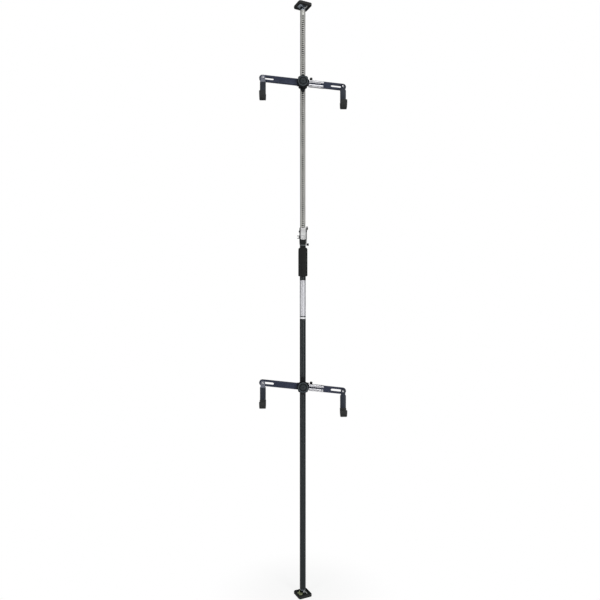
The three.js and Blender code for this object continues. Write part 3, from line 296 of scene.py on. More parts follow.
def dress(node, material, edge=1.0, segments=2):
    """A copy of a CAD node with its doubles merged, its flat faces joined and its edges rounded by a bevel.

    Its width is the edge radius times edge, and nought leaves the edges sharp.
    """
    source = frame["nodes"][node]
    mesh = source.data.copy()
    mesh.name = node + "_surface"
    work = bmesh.new()
    work.from_mesh(mesh)
    bmesh.ops.remove_doubles(work, verts=work.verts, dist=MERGE_CAD)
    bmesh.ops.dissolve_limit(work, angle_limit=math.radians(FLAT_DEGREES), verts=work.verts, edges=work.edges)
    work.to_mesh(mesh)
    work.free()
    obj = place(node + "_surface", mesh, source["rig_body"], material, [node], CREASE_DEGREES)
    if edge > 0:
        rounding = obj.modifiers.new("edges", "BEVEL")
        rounding.width = bpy.context.scene.rack_sizes.edge_radius * edge
        rounding.segments = segments
        rounding.limit_method = "ANGLE"
        rounding.angle_limit = math.radians(CREASE_DEGREES)
        rounding.harden_normals = True
        rounding.use_clamp_overlap = True


# Finishes from shared node groups


def add_node(tree, kind, links=None, **settings):
    """A shader node with its settings, and with its inputs set to values or linked to sockets."""
    made = tree.nodes.new(kind)
    for key, value in settings.items():
        setattr(made, key, value)
    for key, value in (links or {}).items():
        if isinstance(value, bpy.types.NodeSocket):
            tree.links.new(value, made.inputs[key])
        else:
            made.inputs[key].default_value = value
    return made


def maths(tree, operation, *values):
    """The result of an operation on values or sockets."""
    return add_node(tree, "ShaderNodeMath", dict(enumerate(values)), operation=operation).outputs["Value"]


def ramp(tree, value, low, high, to_low=0.0, to_high=1.0, **settings):
    """A value that runs from one limit to another, spread between two new limits."""
    links = {"Value": value, "From Min": low, "From Max": high, "To Min": to_low, "To Max": to_high}
    return add_node(tree, "ShaderNodeMapRange", links, **settings).outputs["Result"]


def brighten(tree, colour, gain):
    """A colour times a gain."""
    return add_node(tree, "ShaderNodeVectorMath", {0: colour, "Scale": gain}, operation="SCALE").outputs["Vector"]


def new_group(name, inputs, outputs):
    """An empty shader node group, the sockets of the inputs it is given, and those of its results."""
    tree = bpy.data.node_groups.new(name, "ShaderNodeTree")
    for label, kind, *default in inputs:
        socket = tree.interface.new_socket(name=label, in_out="INPUT", socket_type="NodeSocket" + kind)
        if default:
            socket.default_value = default[0]
    for label, kind in outputs:
        tree.interface.new_socket(name=label, in_out="OUTPUT", socket_type="NodeSocket" + kind)
    return tree, tree.nodes.new("NodeGroupInput").outputs, tree.nodes.new("NodeGroupOutput").inputs


def build_mottle():
    """Broad tone variation: two sizes of noise lighten and darken a colour by an amount."""
    tree, given, result = new_group("mottle", [
        ("Vector", "Vector"),
        ("Colour", "Color", (0.5, 0.5, 0.5, 1.0)),
        ("Scale", "Float", 20.0),
        ("Amount", "Float", 0.1),
    ], [("Colour", "Color"), ("Tone", "Float")])
    broad = add_node(tree, "ShaderNodeTexNoise", {
        "Vector": given["Vector"], "Scale": given["Scale"], "Detail": 3.0, "Roughness": 0.55,
    })
    tone = ramp(tree, broad.outputs["Fac"], 0.3, 0.7, -1.0, 1.0)
    gain = maths(tree, "MULTIPLY_ADD", tone, given["Amount"], 1.0)
    tree.links.new(brighten(tree, given["Colour"], gain), result["Colour"])
    tree.links.new(tone, result["Tone"])
    return tree


def build_grain():
    """Fine surface height: small noise, mixed with rounder cells for orange peel, cast or moulded skin."""
    tree, given, result = new_group("grain", [
        ("Vector", "Vector"),
        ("Scale", "Float", 800.0),
        ("Cells", "Float", 0.4),
    ], [("Height", "Float")])
    where = {"Vector": given["Vector"], "Scale": given["Scale"]}
    fine = add_node(tree, "ShaderNodeTexNoise", {**where, "Detail": 2.0})
    cells = add_node(tree, "ShaderNodeTexVoronoi", where, feature="SMOOTH_F1")
    mixed = add_node(tree, "ShaderNodeMix", {
        0: given["Cells"], 2: fine.outputs["Fac"], 3: cells.outputs["Distance"],
    }, data_type="FLOAT")
    tree.links.new(mixed.outputs[0], result["Height"])
    return tree


def build_streaks():
    """Drawn or brushed marks: noise that is stretched along one axis, as a mask around nought and as a height."""
    tree, given, result = new_group("streaks", [
        ("Vector", "Vector"),
        ("Across", "Float", 900.0),
        ("Along", "Float", 12.0),
    ], [("Mask", "Float"), ("Height", "Float")])
    split = add_node(tree, "ShaderNodeCombineXYZ", {"X": given["Across"], "Y": given["Across"], "Z": given["Along"]})
    stretched = add_node(tree, "ShaderNodeVectorMath", {
        0: given["Vector"], 1: split.outputs["Vector"],
    }, operation="MULTIPLY")
    lines = add_node(tree, "ShaderNodeTexNoise", {"Vector": stretched.outputs["Vector"], "Scale": 1.0, "Detail": 4.0})
    mask = ramp(tree, lines.outputs["Fac"], 0.35, 0.65, -1.0, 1.0)
    tree.links.new(mask, result["Mask"])
    tree.links.new(lines.outputs["Fac"], result["Height"])
    return tree


def build_marks():
    """Sparse rubs and scuffs: the crests of a noise, broken up by a second, finer one."""
    tree, given, result = new_group("rub_marks", [
        ("Vector", "Vector"),
        ("Scale", "Float", 60.0),
        ("Cover", "Float", 0.1),
    ], [("Mask", "Float")])
    patches = add_node(tree, "ShaderNodeTexNoise", {
        "Vector": given["Vector"], "Scale": given["Scale"], "Detail": 6.0, "Roughness": 0.7,
    })
    highest_crest, border = 0.78, 0.05
    edge = maths(tree, "SUBTRACT", highest_crest, given["Cover"])
    top = maths(tree, "ADD", edge, border)
    tree.links.new(ramp(tree, patches.outputs["Fac"], edge, top), result["Mask"])
    return tree


GROUPS = {}
MATERIALS = {}
BELOW_ALL, ABOVE_ALL = -5.0, 5.0  # limits past every place on the rack


def use_group(tree, name, links):
    """A shared node group placed in a material. The group is built on first use."""
    builders = {"mottle": build_mottle, "grain": build_grain, "streaks": build_streaks, "rub_marks": build_marks}
    if name not in GROUPS:
        GROUPS[name] = builders[name]()
    return add_node(tree, "ShaderNodeGroup", links, node_tree=GROUPS[name])


def between(tree, value, low, high):
    """A mask that is 1 where a value lies between two limits, with soft borders."""
    soft = 0.3 * MM
    rise = ramp(tree, value, low - soft, low + soft)
    fall = ramp(tree, value, high - soft, high + soft, 1.0, 0.0)
    return maths(tree, "MULTIPLY", rise, fall)


def zone(tree, vector, direction, low, high):
    """A mask over the Object coordinates between two planes square to a direction."""
    along = add_node(tree, "ShaderNodeVectorMath", {0: vector, 1: direction}, operation="DOT_PRODUCT")
    return between(tree, along.outputs["Value"], low, high)


def ring(tree, vector, keep, centre, low, high):
    """A mask over the Object coordinates between two distances from an axis. Keep is nought along that axis."""
    flat = add_node(tree, "ShaderNodeVectorMath", {0: vector, 1: keep}, operation="MULTIPLY")
    away = add_node(tree, "ShaderNodeVectorMath", {0: flat.outputs["Vector"], 1: centre}, operation="DISTANCE")
    return between(tree, away.outputs["Value"], low, high)


def mix_colour(tree, factor, a, b):
    """Two colours mixed by a factor."""
    made = add_node(tree, "ShaderNodeMix", {0: factor, 6: a, 7: b}, data_type="RGBA")
    return made.outputs[2]


def finish(name, colour, roughness, metallic, mottle, grain=(900.0, 0.4, 0.1), rub=None, streaks=None, coat=0.0,
           zones=(), rings=(), specular=0.5):
    """A procedural finish: mottled colour, rubbed spots, streaks, grain height and roughness that follows the tone.

    mottle is scale and amount; grain is scale, share of cells and height in millimetres; rub is scale, cover, a colour
    or a share of the finish's own, and change of roughness; streaks are the scales across and along, and the changes
    of tone and of roughness.
    zones are direction, two limits and colour; rings are the factors that flatten a place, the axis, two limits and
    colour.
    """
    if name in MATERIALS:
        return MATERIALS[name]
    material = bpy.data.materials.new(name)
    material.use_nodes = True
    tree = material.node_tree
    shader = tree.nodes["Principled BSDF"]
    vector = add_node(tree, "ShaderNodeTexCoord").outputs["Object"]
    base = (*colour, 1.0)
    toned = use_group(tree, "mottle", {"Vector": vector, "Colour": base, "Scale": mottle[0], "Amount": mottle[1]})
    shown = toned.outputs["Colour"]
    rough = maths(tree, "MULTIPLY_ADD", toned.outputs["Tone"], TONE_TO_ROUGHNESS, roughness)
    grained = use_group(tree, "grain", {"Vector": vector, "Scale": grain[0], "Cells": grain[1]})
    height = grained.outputs["Height"]
    if streaks:
        drawn = use_group(tree, "streaks", {"Vector": vector, "Across": streaks[0], "Along": streaks[1]})
        shown = brighten(tree, shown, maths(tree, "MULTIPLY_ADD", drawn.outputs["Mask"], streaks[2], 1.0))
        rough = maths(tree, "MULTIPLY_ADD", drawn.outputs["Mask"], streaks[3], rough)
        height = maths(tree, "ADD", height, drawn.outputs["Height"])
    if rub:
        worn = use_group(tree, "rub_marks", {"Vector": vector, "Scale": rub[0], "Cover": rub[1]})
        bared = scaled(colour, rub[2]) if isinstance(rub[2], float) else rub[2]
        shown = mix_colour(tree, worn.outputs["Mask"], shown, (*bared, 1.0))
        rough = maths(tree, "MULTIPLY_ADD", worn.outputs["Mask"], rub[3], rough)
    for direction, low, high, other in zones:
        shown = mix_colour(tree, zone(tree, vector, direction, low, high), shown, (*other, 1.0))
    for keep, centre, low, high, other in rings:
        shown = mix_colour(tree, ring(tree, vector, keep, centre, low, high), shown, (*other, 1.0))
    bump = add_node(tree, "ShaderNodeBump", {"Height": height, "Distance": grain[2] * MM, "Strength": BUMP_STRENGTH})
    tree.links.new(shown, shader.inputs["Base Color"])
    tree.links.new(rough, shader.inputs["Roughness"])
    tree.links.new(bump.outputs["Normal"], shader.inputs["Normal"])
    shader.inputs["Metallic"].default_value = metallic
    shader.inputs["Coat Weight"].default_value = coat
    shader.inputs["Coat Roughness"].default_value = COAT_ROUGHNESS
    shader.inputs["Specular IOR Level"].default_value = specular
    MATERIALS[name] = material
    return material


def scaled(colour, share):
    """A colour made lighter or darker by a share, no channel past 1."""
    return tuple(min(1.0, c * share) for c in colour)


def galvanised(colours):
    """Drawn and dull galvanised steel, with painted shade that makes the bore almost black."""
    # bore paints the inside of the tube almost black as shade, so the slots look dark.
    bore = (ACROSS_Z, (0, 0, 0), BELOW_ALL, 12.2 * MM, linear("060606"))
    return finish("galvanised_steel", colours.galvanised, 0.5, 0.5, mottle=(45.0, 0.07), grain=(700.0, 0.7, 0.06),
                  streaks=(700.0, 9.0, 0.06, 0.05), rub=(90.0, 0.1, 0.8, 0.1),
                  rings=[bore])


def tube_coat(colours):
    """Semi gloss powder coat on the lower tube, with faint rubs from the lower clamp."""
    return finish("tube_powder_coat", colours.tube_black, 0.36, 0.0, mottle=(10.0, 0.1), grain=(1100.0, 0.7, 0.05),
                  rub=(50.0, 0.08, 1.9, 0.12), specular=0.25)


def cast_metal(colours):
    """Fine cast housing, blasted and lacquered, with painted shade on its sides."""
    # dark is painted shade on the housing's sides, past the two limits across X.
    dark = linear("3c3d3e")
    left, right = -10.8 * MM, 13.2 * MM
    return finish("cast_housing", colours.cast_metal, 0.36, 0.7, mottle=(60.0, 0.05), grain=(1600.0, 0.8, 0.08),
                  rub=(120.0, 0.08, 0.75, 0.1),
                  zones=[(ALONG_X, BELOW_ALL, left, dark), (ALONG_X, right, ABOVE_ALL, dark)])


def arm_coat(colours):
    """Blue black powder coat of the arms, with light rubs along the edges."""
    return finish("arm_powder_coat", colours.arm_paint, 0.4, 0.15, mottle=(25.0, 0.12), grain=(1300.0, 0.7, 0.06),
                  rub=(70.0, 0.12, 2.2, 0.1), specular=0.25)


def hook_coat(colours):
    """Blue black powder coat of the hooks, with a painted reflection that makes the tabs of the two left hooks paler.
    """
    # pale is a painted reflection on the tabs of the left hooks, at the heights of their bolts.
    pale = linear("62656f")
    below, above = 21.4 * MM, 12.5 * MM
    heights = [node_middle(tier + "_left_bolt")[2] for tier in TIERS]
    return finish("hook_powder_coat", colours.hook_paint, 0.38, 0.15, mottle=(30.0, 0.12), grain=(1300.0, 0.7, 0.06),
                  rub=(80.0, 0.14, 2.4, 0.1), specular=0.25,
                  zones=[(ALONG_Z, height - below, height + above, pale) for height in heights])


def fitting_coat(colours):
    """Satin black of the clamps and the jack's fittings."""
    return finish("fitting_black_coat", colours.fitting_black, 0.45, 0.1, mottle=(40.0, 0.12),
                  grain=(1500.0, 0.7, 0.07), rub=(110.0, 0.12, 2.6, 0.08),
                  specular=0.2)


def bright_steel(colours):
    """Polished and plated steel with fine marks along the slide."""
    return finish("bright_plated_steel", colours.bright_steel, 0.34, 1.0, mottle=(60.0, 0.04),
                  grain=(2200.0, 0.2, 0.01), streaks=(60.0, 1100.0, 0.03, 0.04),
                  rub=(90.0, 0.04, 0.85, 0.06))


def zinc_plate(colours):
    """Bright zinc on screws and nuts."""
    return finish("zinc_plate", colours.zinc, 0.32, 0.9, mottle=(90.0, 0.08), grain=(2000.0, 0.5, 0.04),
                  rub=(160.0, 0.12, 0.7, 0.15))


def dark_zinc(colours):
    """Dull, darkened zinc of the pin clip."""
    return finish("darkened_zinc", scaled(colours.zinc, 0.06), 0.5, 0.3, mottle=(120.0, 0.1), grain=(1800.0, 0.5, 0.05),
                  rub=(160.0, 0.12, 10.0, 0.1))


def knob_plastic(colours, tier):
    """Fine grained moulded plastic: dark lobes, a ring with a painted highlight round a groove darkened by painted
    shade, and a disc with a dark middle.
    """
    centre = (0, 0, node_middle(tier + "_knob_bolt")[2])
    tones = (
        (BELOW_ALL, 3 * MM, "101213"),  # middle of the disc
        (13.6 * MM, 18.7 * MM, "0b0d0e"),  # groove, darkened by painted shade
        (18.7 * MM, 23.2 * MM, "30373b"),  # ring with a painted highlight
        (24 * MM, ABOVE_ALL, "090a0b"),  # lobes
    )
    return finish(tier + "_knob_moulding", colours.plastic, 0.46, 0.0, mottle=(50.0, 0.1), grain=(2400.0, 0.9, 0.12),
                  rub=(90.0, 0.12, 1.7, -0.12), specular=0.2,
                  rings=[(ACROSS_Y, centre, low, high, linear(tone)) for low, high, tone in tones])


def grip_plastic(colours):
    """Matte moulded grip. Its bead has a painted highlight."""
    # bead is a pale band painted on the grip's bead as its highlight.
    bead = (ALONG_Z, 1673.5 * MM, 1675.9 * MM, linear("6c7072"))
    return finish("grip_moulding", colours.grip, 0.55, 0.0, mottle=(35.0, 0.1), grain=(1900.0, 0.9, 0.16),
                  rub=(60.0, 0.1, 1.8, -0.15), zones=[bead], specular=0.15)


def moulded_rubber(colours):
    """Dull rubber with a dusty, uneven bloom."""
    return finish("moulded_rubber", colours.rubber, 0.78, 0.0, mottle=(30.0, 0.16), grain=(1300.0, 0.8, 0.18),
                  rub=(45.0, 0.14, 1.9, 0.08), specular=0.2)


def liner_plastic(colours):
    """Smooth black plastic of the clamp liners and the guide bush."""
    return finish("liner_moulding", colours.plastic, 0.5, 0.0, mottle=(60.0, 0.08), grain=(1700.0, 0.6, 0.05))


def sheet_steel(colours, end):
    """Rolled steel of the tongues: bright and a little stained at the floor, pale and dull at the ceiling."""
    share, metal = (1.0, 0.85) if end == "floor" else (1.25, 0.3)
    return finish(end + "_sheet_steel", scaled(colours.sheet_steel, share), 0.4, metal, mottle=(70.0, 0.12),
                  grain=(1500.0, 0.5, 0.05), streaks=(800.0, 60.0, 0.06, 0.06),
                  rub=(80.0, 0.12, linear("8d8672"), 0.12))


def bracket_coat(end):
    """Plated bracket with a pale left side and a painted highlight along the slope of its right side."""
    axis = joint(end + "_tilt")["axis"]
    across = Vector((axis[1], -axis[0], 0))
    away, base, metal, coat, patch = (
        (1, 0.0, 0.4, "16181a", "9ba07e") if end == "floor" else (-1, cad_box[1][2], 0.6, "454b52", "a4acb4")
    )
    slope_across, slope_up = 0.796, 0.605 * away  # direction square to the slope of the bracket's ears
    slope = across * slope_across + Vector((0, 0, slope_up))
    edge = slope_up * base
    return finish(end + "_bracket_plating", linear(coat), 0.4, metal, mottle=(70.0, 0.15), grain=(1500.0, 0.5, 0.05),
                  rub=(80.0, 0.14, scaled(linear(patch), 0.3), 0.12), specular=0.3,
                  # The second zone is a painted highlight, a bright line along the slope of the ears' right edges.
                  zones=[(tuple(across), BELOW_ALL, -9 * MM, linear(patch)),
                         (tuple(slope), edge + 16.5 * MM, edge + 20 * MM, linear("c4c8c6"))])


def label_film(colours):
    """Bare silver film, satin, with soft creases along the tube."""
    return finish("bare_label_film", colours.label, 0.42, 0.2, mottle=(14.0, 0.05), grain=(500.0, 0.3, 0.05),
                  streaks=(160.0, 14.0, 0.03, 0.04), coat=0.1)


def band_film():
    """Plain pale film."""
    return finish("pale_band_film", linear("c8c8ca"), 0.45, 0.0, mottle=(30.0, 0.03))


# Building steps


def settings(context):
    """Sizes and colours of the scene."""
    return context.scene.rack_sizes, context.scene.rack_colours


def node_middle(node):
    """Middle of a CAD node's box."""
    low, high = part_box(node)
    return (np.array(low) + np.array(high)) / 2


def joint(name):
    """The record of a joint: its place and its axis at rest."""
    return next(entry for entry in frame["record"]["behaviour"]["joints"] if entry["name"] == name)


class RACK_OT_tubes(bpy.types.Operator):
    """Make the slotted upper tube and the painted lower tube"""

    bl_idname = "rack.tubes"
    bl_label = "Tubes"

    def execute(self, context):
        sizes, colours = settings(context)
        top_of_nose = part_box("drive_pawl")[1][2]
        nose_above_slot = 1.8 * MM  # top of the nose over the middle of its slot
        slots_below, slots_above = 20, 106
        centres = top_of_nose - nose_above_slot + sizes.rack_pitch * np.arange(-slots_below, slots_above + 1)
        half = sizes.slot_height / 2
        edges = np.stack([centres - half, centres + half], axis=1).reshape(-1)
        low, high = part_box("upper_tube")
        self.tube("slotted_tube", sizes.upper_tube_radius, sizes.upper_tube_wall, sizes.slot_width / 2,
                  [low[2], *edges, high[2]], slice(1, -1, 2),
                  "upper_pole", "galvanised_tube", galvanised(colours), ["upper_tube"])

        low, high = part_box("lower_tube")
        window_half_width, sill = 8 * MM, 1682 * MM
        self.tube("painted_tube", sizes.lower_tube_radius, sizes.lower_tube_wall, window_half_width,
                  [low[2], sill, high[2]], slice(1, 2),
                  "pole", "black_tube", tube_coat(colours), ["lower_tube"])
        return {"FINISHED"}

    @staticmethod
    def tube(name, outer, wall, half_width, heights, open_rows, body, slot, material, nodes):
        """A tube with windows of one width in the rows between some of its heights."""
        inner = outer - wall
        kept = np.ones((len(heights) - 1, FRONT_COLUMNS + BACK_COLUMNS), bool)
        kept[open_rows, :FRONT_COLUMNS] = False
        angles = window_angles(half_width, outer, inner)
        mesh = make_mesh(name, *windowed_tube(outer, inner, angles, heights, kept))
        place(name, mesh, body, material, nodes)


class RACK_OT_label(bpy.types.Operator):
    """Make the bare label on the lower tube and the pale band below it"""

    bl_idname = "rack.label"
    bl_label = "Bare label"

    def execute(self, context):
        sizes, colours = settings(context)
        gap_under_film = 0.02 * MM
        inner = sizes.lower_tube_radius + gap_under_film
        outer = inner + sizes.label_thickness
        columns, bare_columns, rows = 60, 4, 5
        half_wrap = math.radians(172)
        angles = front_angles(half_wrap, columns, bare_columns)
        kept = np.ones((rows, columns + bare_columns), bool)
        kept[:, columns:] = False
        for name, low, high, material in (
            ("bare_label", 1337.5 * MM, 1508.5 * MM, label_film(colours)),
            ("pale_band", 1324.5 * MM, 1332.5 * MM, band_film()),
        ):
            heights = np.linspace(low, high, rows + 1)
            mesh = make_mesh(name, *windowed_tube(outer, inner, (angles, angles), heights, kept))
            place(name, mesh, "pole", material)
        return {"FINISHED"}


class RACK_OT_feet(bpy.types.Operator):
    """Finish the rubber pads, brackets, tongues and pins at both ends of the pole"""

    bl_idname = "rack.feet"
    bl_label = "Feet"

    def execute(self, context):
        _, colours = settings(context)
        for end in ("floor", "ceiling"):
            dress(end + "_pad", moulded_rubber(colours), edge=3, segments=3)
            dress(end + "_bracket", bracket_coat(end))
            dress(end + "_tongue", sheet_steel(colours, end))
            dress(end + "_pin", zinc_plate(colours))
        return {"FINISHED"}


class RACK_OT_jack(bpy.types.Operator):
    """Finish the jack housing, its fittings, pawls and levers"""

    bl_idname = "rack.jack"
    bl_label = "Jack"

    def execute(self, context):
        _, colours = settings(context)
        dress("jack_housing", cast_metal(colours), edge=1.75, segments=3)
        dress("tube_collar", fitting_coat(colours), edge=1.25)
        dress("guide_bush", liner_plastic(colours), edge=0)
        dress("housing_screw", zinc_plate(colours), edge=0.75)
        dress("lever_pin", bright_steel(colours))
        dress("pin_clip", dark_zinc(colours))
        dress("lever", cast_metal(colours))
        dress("lever_grip", grip_plastic(colours), edge=2.5, segments=3)
        dress("drive_pawl", fitting_coat(colours), edge=0.5)
        dress("holding_pawl", fitting_coat(colours), edge=0.5)
        dress("pawl_shaft", fitting_coat(colours))
        dress("release_lever", fitting_coat(colours), edge=1.5)
        return {"FINISHED"}


class RACK_OT_clamps(bpy.types.Operator):
    """Finish the clamps, liners and screws of both tiers"""

    bl_idname = "rack.clamps"
    bl_label = "Clamps"

    def execute(self, context):
        _, colours = settings(context)
        for tier in TIERS:
            dress(tier + "_liner", liner_plastic(colours))
            for part in ("front", "rear"):
                dress(f"{tier}_clamp_{part}", fitting_coat(colours), edge=2.5, segments=3)
            for side in SIDES:
                dress(f"{tier}_clamp_screw_{side}", zinc_plate(colours))
        return {"FINISHED"}


class RACK_OT_arms(bpy.types.Operator):
    """Finish the main bars, right arms and bright slide sleeves"""

    bl_idname = "rack.arms"
    bl_label = "Arms"

    def execute(self, context):
        _, colours = settings(context)
        for tier in TIERS:
            dress(tier + "_main_bar", arm_coat(colours), edge=2, segments=3)
            dress(tier + "_right_arm", arm_coat(colours), edge=2, segments=3)
            dress(tier + "_slide_sleeve", bright_steel(colours), edge=1.5, segments=3)
        return {"FINISHED"}


class RACK_OT_knobs(bpy.types.Operator):
    """Make the lobed knobs and the fluted thumb knobs"""

    bl_idname = "rack.knobs"
    bl_label = "Knobs"

    def execute(self, context):
        sizes, colours = settings(context)
        for tier in TIERS:
            self.lobed_knob(tier, sizes, colours)
            dress(tier + "_knob_bolt", zinc_plate(colours))
            self.thumb_knob(tier, colours)
        return {"FINISHED"}

    @staticmethod
    def lobed_knob(tier, sizes, colours):
        """A turned knob with a blind bore, a hub, a grooved face and eight lobes. Its profile is in millimetres.

        A lobe's radius is r - depth (1 - ((1 + cos 8a) / 2)^0.6), faded in over the outer part of the knob.
        """
        depth = sizes.knob_lobe_depth
        lobe_start, lobe_fade = 23 * MM, 4 * MM

        def lobes(radius, height, angle):
            """Radius less the lobe depth between crests, with a smooth step where the lobes start."""
            hollow = 1 - ((1 + np.cos(8 * angle)) / 2) ** 0.6
            fade = np.clip((radius - lobe_start) / lobe_fade, 0, 1)
            return radius - depth * hollow * fade * fade * (3 - 2 * fade)

        low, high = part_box(tier + "_knob")
        centre = node_middle(tier + "_knob_bolt")
        front, radius = (high[1] - low[1]) / MM, sizes.knob_radius / MM
        bore, bore_end = 4.3, 13.9
        hub, pad = 14, 1.8
        disc, groove_in, groove_out, ridge = 13.2, 13.8, 18.4, 19
        groove_end = front - 3
        profile = soften([
            (0, bore_end), (bore, bore_end), (bore, 0), (hub, 0), (hub, pad), (radius - 2.2, pad),
            (radius, pad + 2.5), (radius, front - 3.5), (radius - 2.6, front), (ridge, front - 0.6),
            (groove_out, groove_end), (groove_in, groove_end), (disc, front - 0.4), (0, front),
        ], 1.4, 5)
        dimple = (6, front - 0.1)
        profile = MM * np.concatenate([profile[:-1], [dimple], profile[-1:]])
        rings = along_y(turned_rings(profile, 192, lobes, core=0.05 * MM), (centre[0], high[1], centre[2]))
        swept_grid(tier + "_lobed_knob", rings, tier + "_knob", knob_plastic(colours, tier),
                   [tier + "_knob"])

    @staticmethod
    def thumb_knob(tier, colours):
        """A fluted thumb screw that stands square to the arm. Its profile is in millimetres above the arm's middle."""
        turn = joint(tier + "_thumb_turn")
        up = np.array(turn["axis"])
        along = np.array(joint(tier + "_extend")["axis"])
        joint_above_arm = 22 * MM
        origin = np.array(turn["pos_m"]) - up * joint_above_arm
        screw, neck, grip = 3, 5.4, 6.6
        profile = MM * soften([
            (0, 12.3), (screw, 12.3), (screw, 16.75), (neck, 16.75), (grip, 19), (grip, 24.3), (neck, 27.3),
            (2.2, 28.25), (0, 28.25),
        ], 0.9)
        count, dip = 18, 0.35 * MM
        grip_start, grip_fade = 5.8 * MM, 0.6 * MM

        def flutes(radius, height, angle):
            """Radius less a shallow wave where the radius is that of the grip."""
            share = np.clip((radius - grip_start) / grip_fade, 0, 1)
            return radius - dip * share * (1 - np.cos(count * angle)) / 2

        rings = turned_rings(profile, 108, flutes)
        side = np.cross(up, along)
        placed = origin + rings[..., :1] * along + rings[..., 1:2] * side + rings[..., 2:] * up
        swept_grid(tier + "_fluted_thumb_knob", placed, tier + "_thumb_knob",
                   knob_plastic(colours, tier), [tier + "_thumb_knob"])


class RACK_OT_hooks(bpy.types.Operator):
    """Make the hooks, their rubber sleeves, bolts and nuts"""

    bl_idname = "rack.hooks"
    bl_label = "Hooks"

    # Lengths on the strip and on its sleeve start at the tab's top
    tab_radius = 11 * MM
    half_width = 13.75 * MM
    straight = 97 * MM  # down to the bend
    lip = 3 * MM  # past the half turn of the bend
    strip_back = -45.1 * MM  # the strip's face towards the pole, in Y

    def execute(self, context):
        sizes, colours = settings(context)
        for tier in TIERS:
            for side in SIDES:
                name = f"{tier}_{side}"
                pivot = node_middle(name + "_bolt")
                total = self.straight + math.pi * (sizes.hook_bend + sizes.hook_sheet / 2) + self.lip
                self.strip(name, pivot, total, sizes, colours)
                self.sleeve(name, pivot, total, sizes, colours)
                self.bolt(name, pivot, colours)
                dress(name + "_nut", zinc_plate(colours), edge=1.25)
        return {"FINISHED"}

    def path(self, s, sizes):
        """Places and outward normals of the strip's middle line at the lengths s, in Y, and in Z from the bolt's axis.

        It runs straight down from the tab's top, half round under the load, and a little up again: on the bend a
        place is its centre plus radius (cos t, -sin t), with t the length past the straight part over the radius.
        """
        half = sizes.hook_sheet / 2
        radius = sizes.hook_bend + half
        line = self.strip_back - half
        turn = np.clip((s - self.straight) / radius, 0, math.pi)
        after = np.maximum(s - self.straight - math.pi * radius, 0)
        y = line - radius + radius * np.cos(turn)
        bend_z = self.tab_radius - self.straight
        z = np.where(s < self.straight, self.tab_radius - s, bend_z - radius * np.sin(turn) + after)
        normal = np.stack([np.zeros_like(s), np.cos(turn), -np.sin(turn)], axis=-1)
        return y, z, normal

    @staticmethod
    def section(half_width, half_thickness, corner, steps=5):
        """Rounded rectangles for a run of half widths and half thicknesses, as offsets across and along the normal."""
        quarter = np.linspace(0, math.pi / 2, steps)
        turn = np.concatenate([quarter + k * math.pi / 2 for k in range(4)])
        signs = np.repeat([[1, 1], [-1, 1], [-1, -1], [1, -1]], steps, axis=0)
        radius = np.minimum(corner, np.minimum(half_width, half_thickness))[:, None]
        across = signs[:, 0] * (half_width[:, None] - radius) + radius * np.cos(turn)
        out = signs[:, 1] * (half_thickness[:, None] - radius) + radius * np.sin(turn)
        return across, out

    def rings(self, s, half_width, half_thickness, corner, pivot, sizes):
        """Rings round the middle line: section offsets are laid across X and along the path's normal."""
        y, z, normal = self.path(s, sizes)
        across, out = self.section(*(np.broadcast_to(v, s.shape) for v in (half_width, half_thickness)), corner)
        yy = y[:, None] + normal[:, None, 1] * out
        zz = pivot[2] + z[:, None] + normal[:, None, 2] * out
        return np.stack([pivot[0] + across, yy, zz], axis=-1)

    def strip(self, name, pivot, total, sizes, colours):
        """The steel strip: round at the tab's top, with a smooth step in width below the tab."""
        tab = self.tab_radius
        step_start, step_length = 27.5 * MM, 4.5 * MM
        fine_end = 36 * MM  # the rings stand closer together down to here
        s = np.concatenate([tab * (1 - np.cos(np.linspace(0.02, math.pi / 2, 14))),
                            np.linspace(tab, fine_end, 20)[1:], np.linspace(fine_end, self.straight, 8)[1:],
                            np.linspace(self.straight, total, 44)[1:]])
        round_top = np.sqrt(np.maximum(tab ** 2 - np.maximum(tab - s, 0) ** 2, 0))
        step = np.clip((s - step_start) / step_length, 0, 1)
        width = round_top + (self.half_width - tab) * step * step * (3 - 2 * step)
        rings = self.rings(s, width, sizes.hook_sheet / 2, 0.9 * MM, pivot, sizes)
        swept_grid(name + "_hook_strip", rings, name + "_hook", hook_coat(colours), [name + "_hook"])

    def sleeve(self, name, pivot, total, sizes, colours):
        """The rubber sleeve. Its inner face runs back from the lip, turns over the rim, and its outer face ends round.

        The bead at the rim is a bell curve, and the round end is a quarter circle: tip (1 - sqrt(1 - x^2)).
        """
        first, last = 90 * MM, total + 3.1 * MM
        tip = 2.6 * MM
        rim_steps, rim_insets = np.array([0, 0.3, 1]) * MM, np.array([0.9, 0.4, 0.1]) * MM
        inner_s = np.linspace(total + 0.3 * MM, first, 40)
        outer_s = np.concatenate([first + rim_steps, np.linspace(first + 3 * MM, last - tip, 40),
                                  last - tip + tip * np.sin(np.linspace(0.15, math.pi / 2 - 0.02, 7))])
        inset = np.zeros_like(outer_s)
        inset[:3] = rim_insets
        near_end = np.clip((outer_s - (last - tip)) / tip, 0, 1)
        inset = np.maximum(inset, tip * (1 - np.sqrt(1 - near_end ** 2)))
        bead_height, bead_at, bead_length = 0.4 * MM, first + 3.5 * MM, 1.2 * MM
        bead = bead_height * np.exp(-((outer_s - bead_at) / bead_length) ** 2)
        inner_half, inner_thick = 14.05 * MM, 2.8 * MM
        outer_half, outer_thick = 14.95 * MM, 5.2 * MM
        inner = self.rings(inner_s, inner_half, inner_thick, 1 * MM, pivot, sizes)
        outer = self.rings(outer_s, outer_half - inset + bead, outer_thick - inset + bead, 2.4 * MM, pivot, sizes)
        swept_grid(name + "_rubber_sleeve", np.concatenate([inner, outer]), name + "_hook",
                   moulded_rubber(colours), [name + "_rubber"])

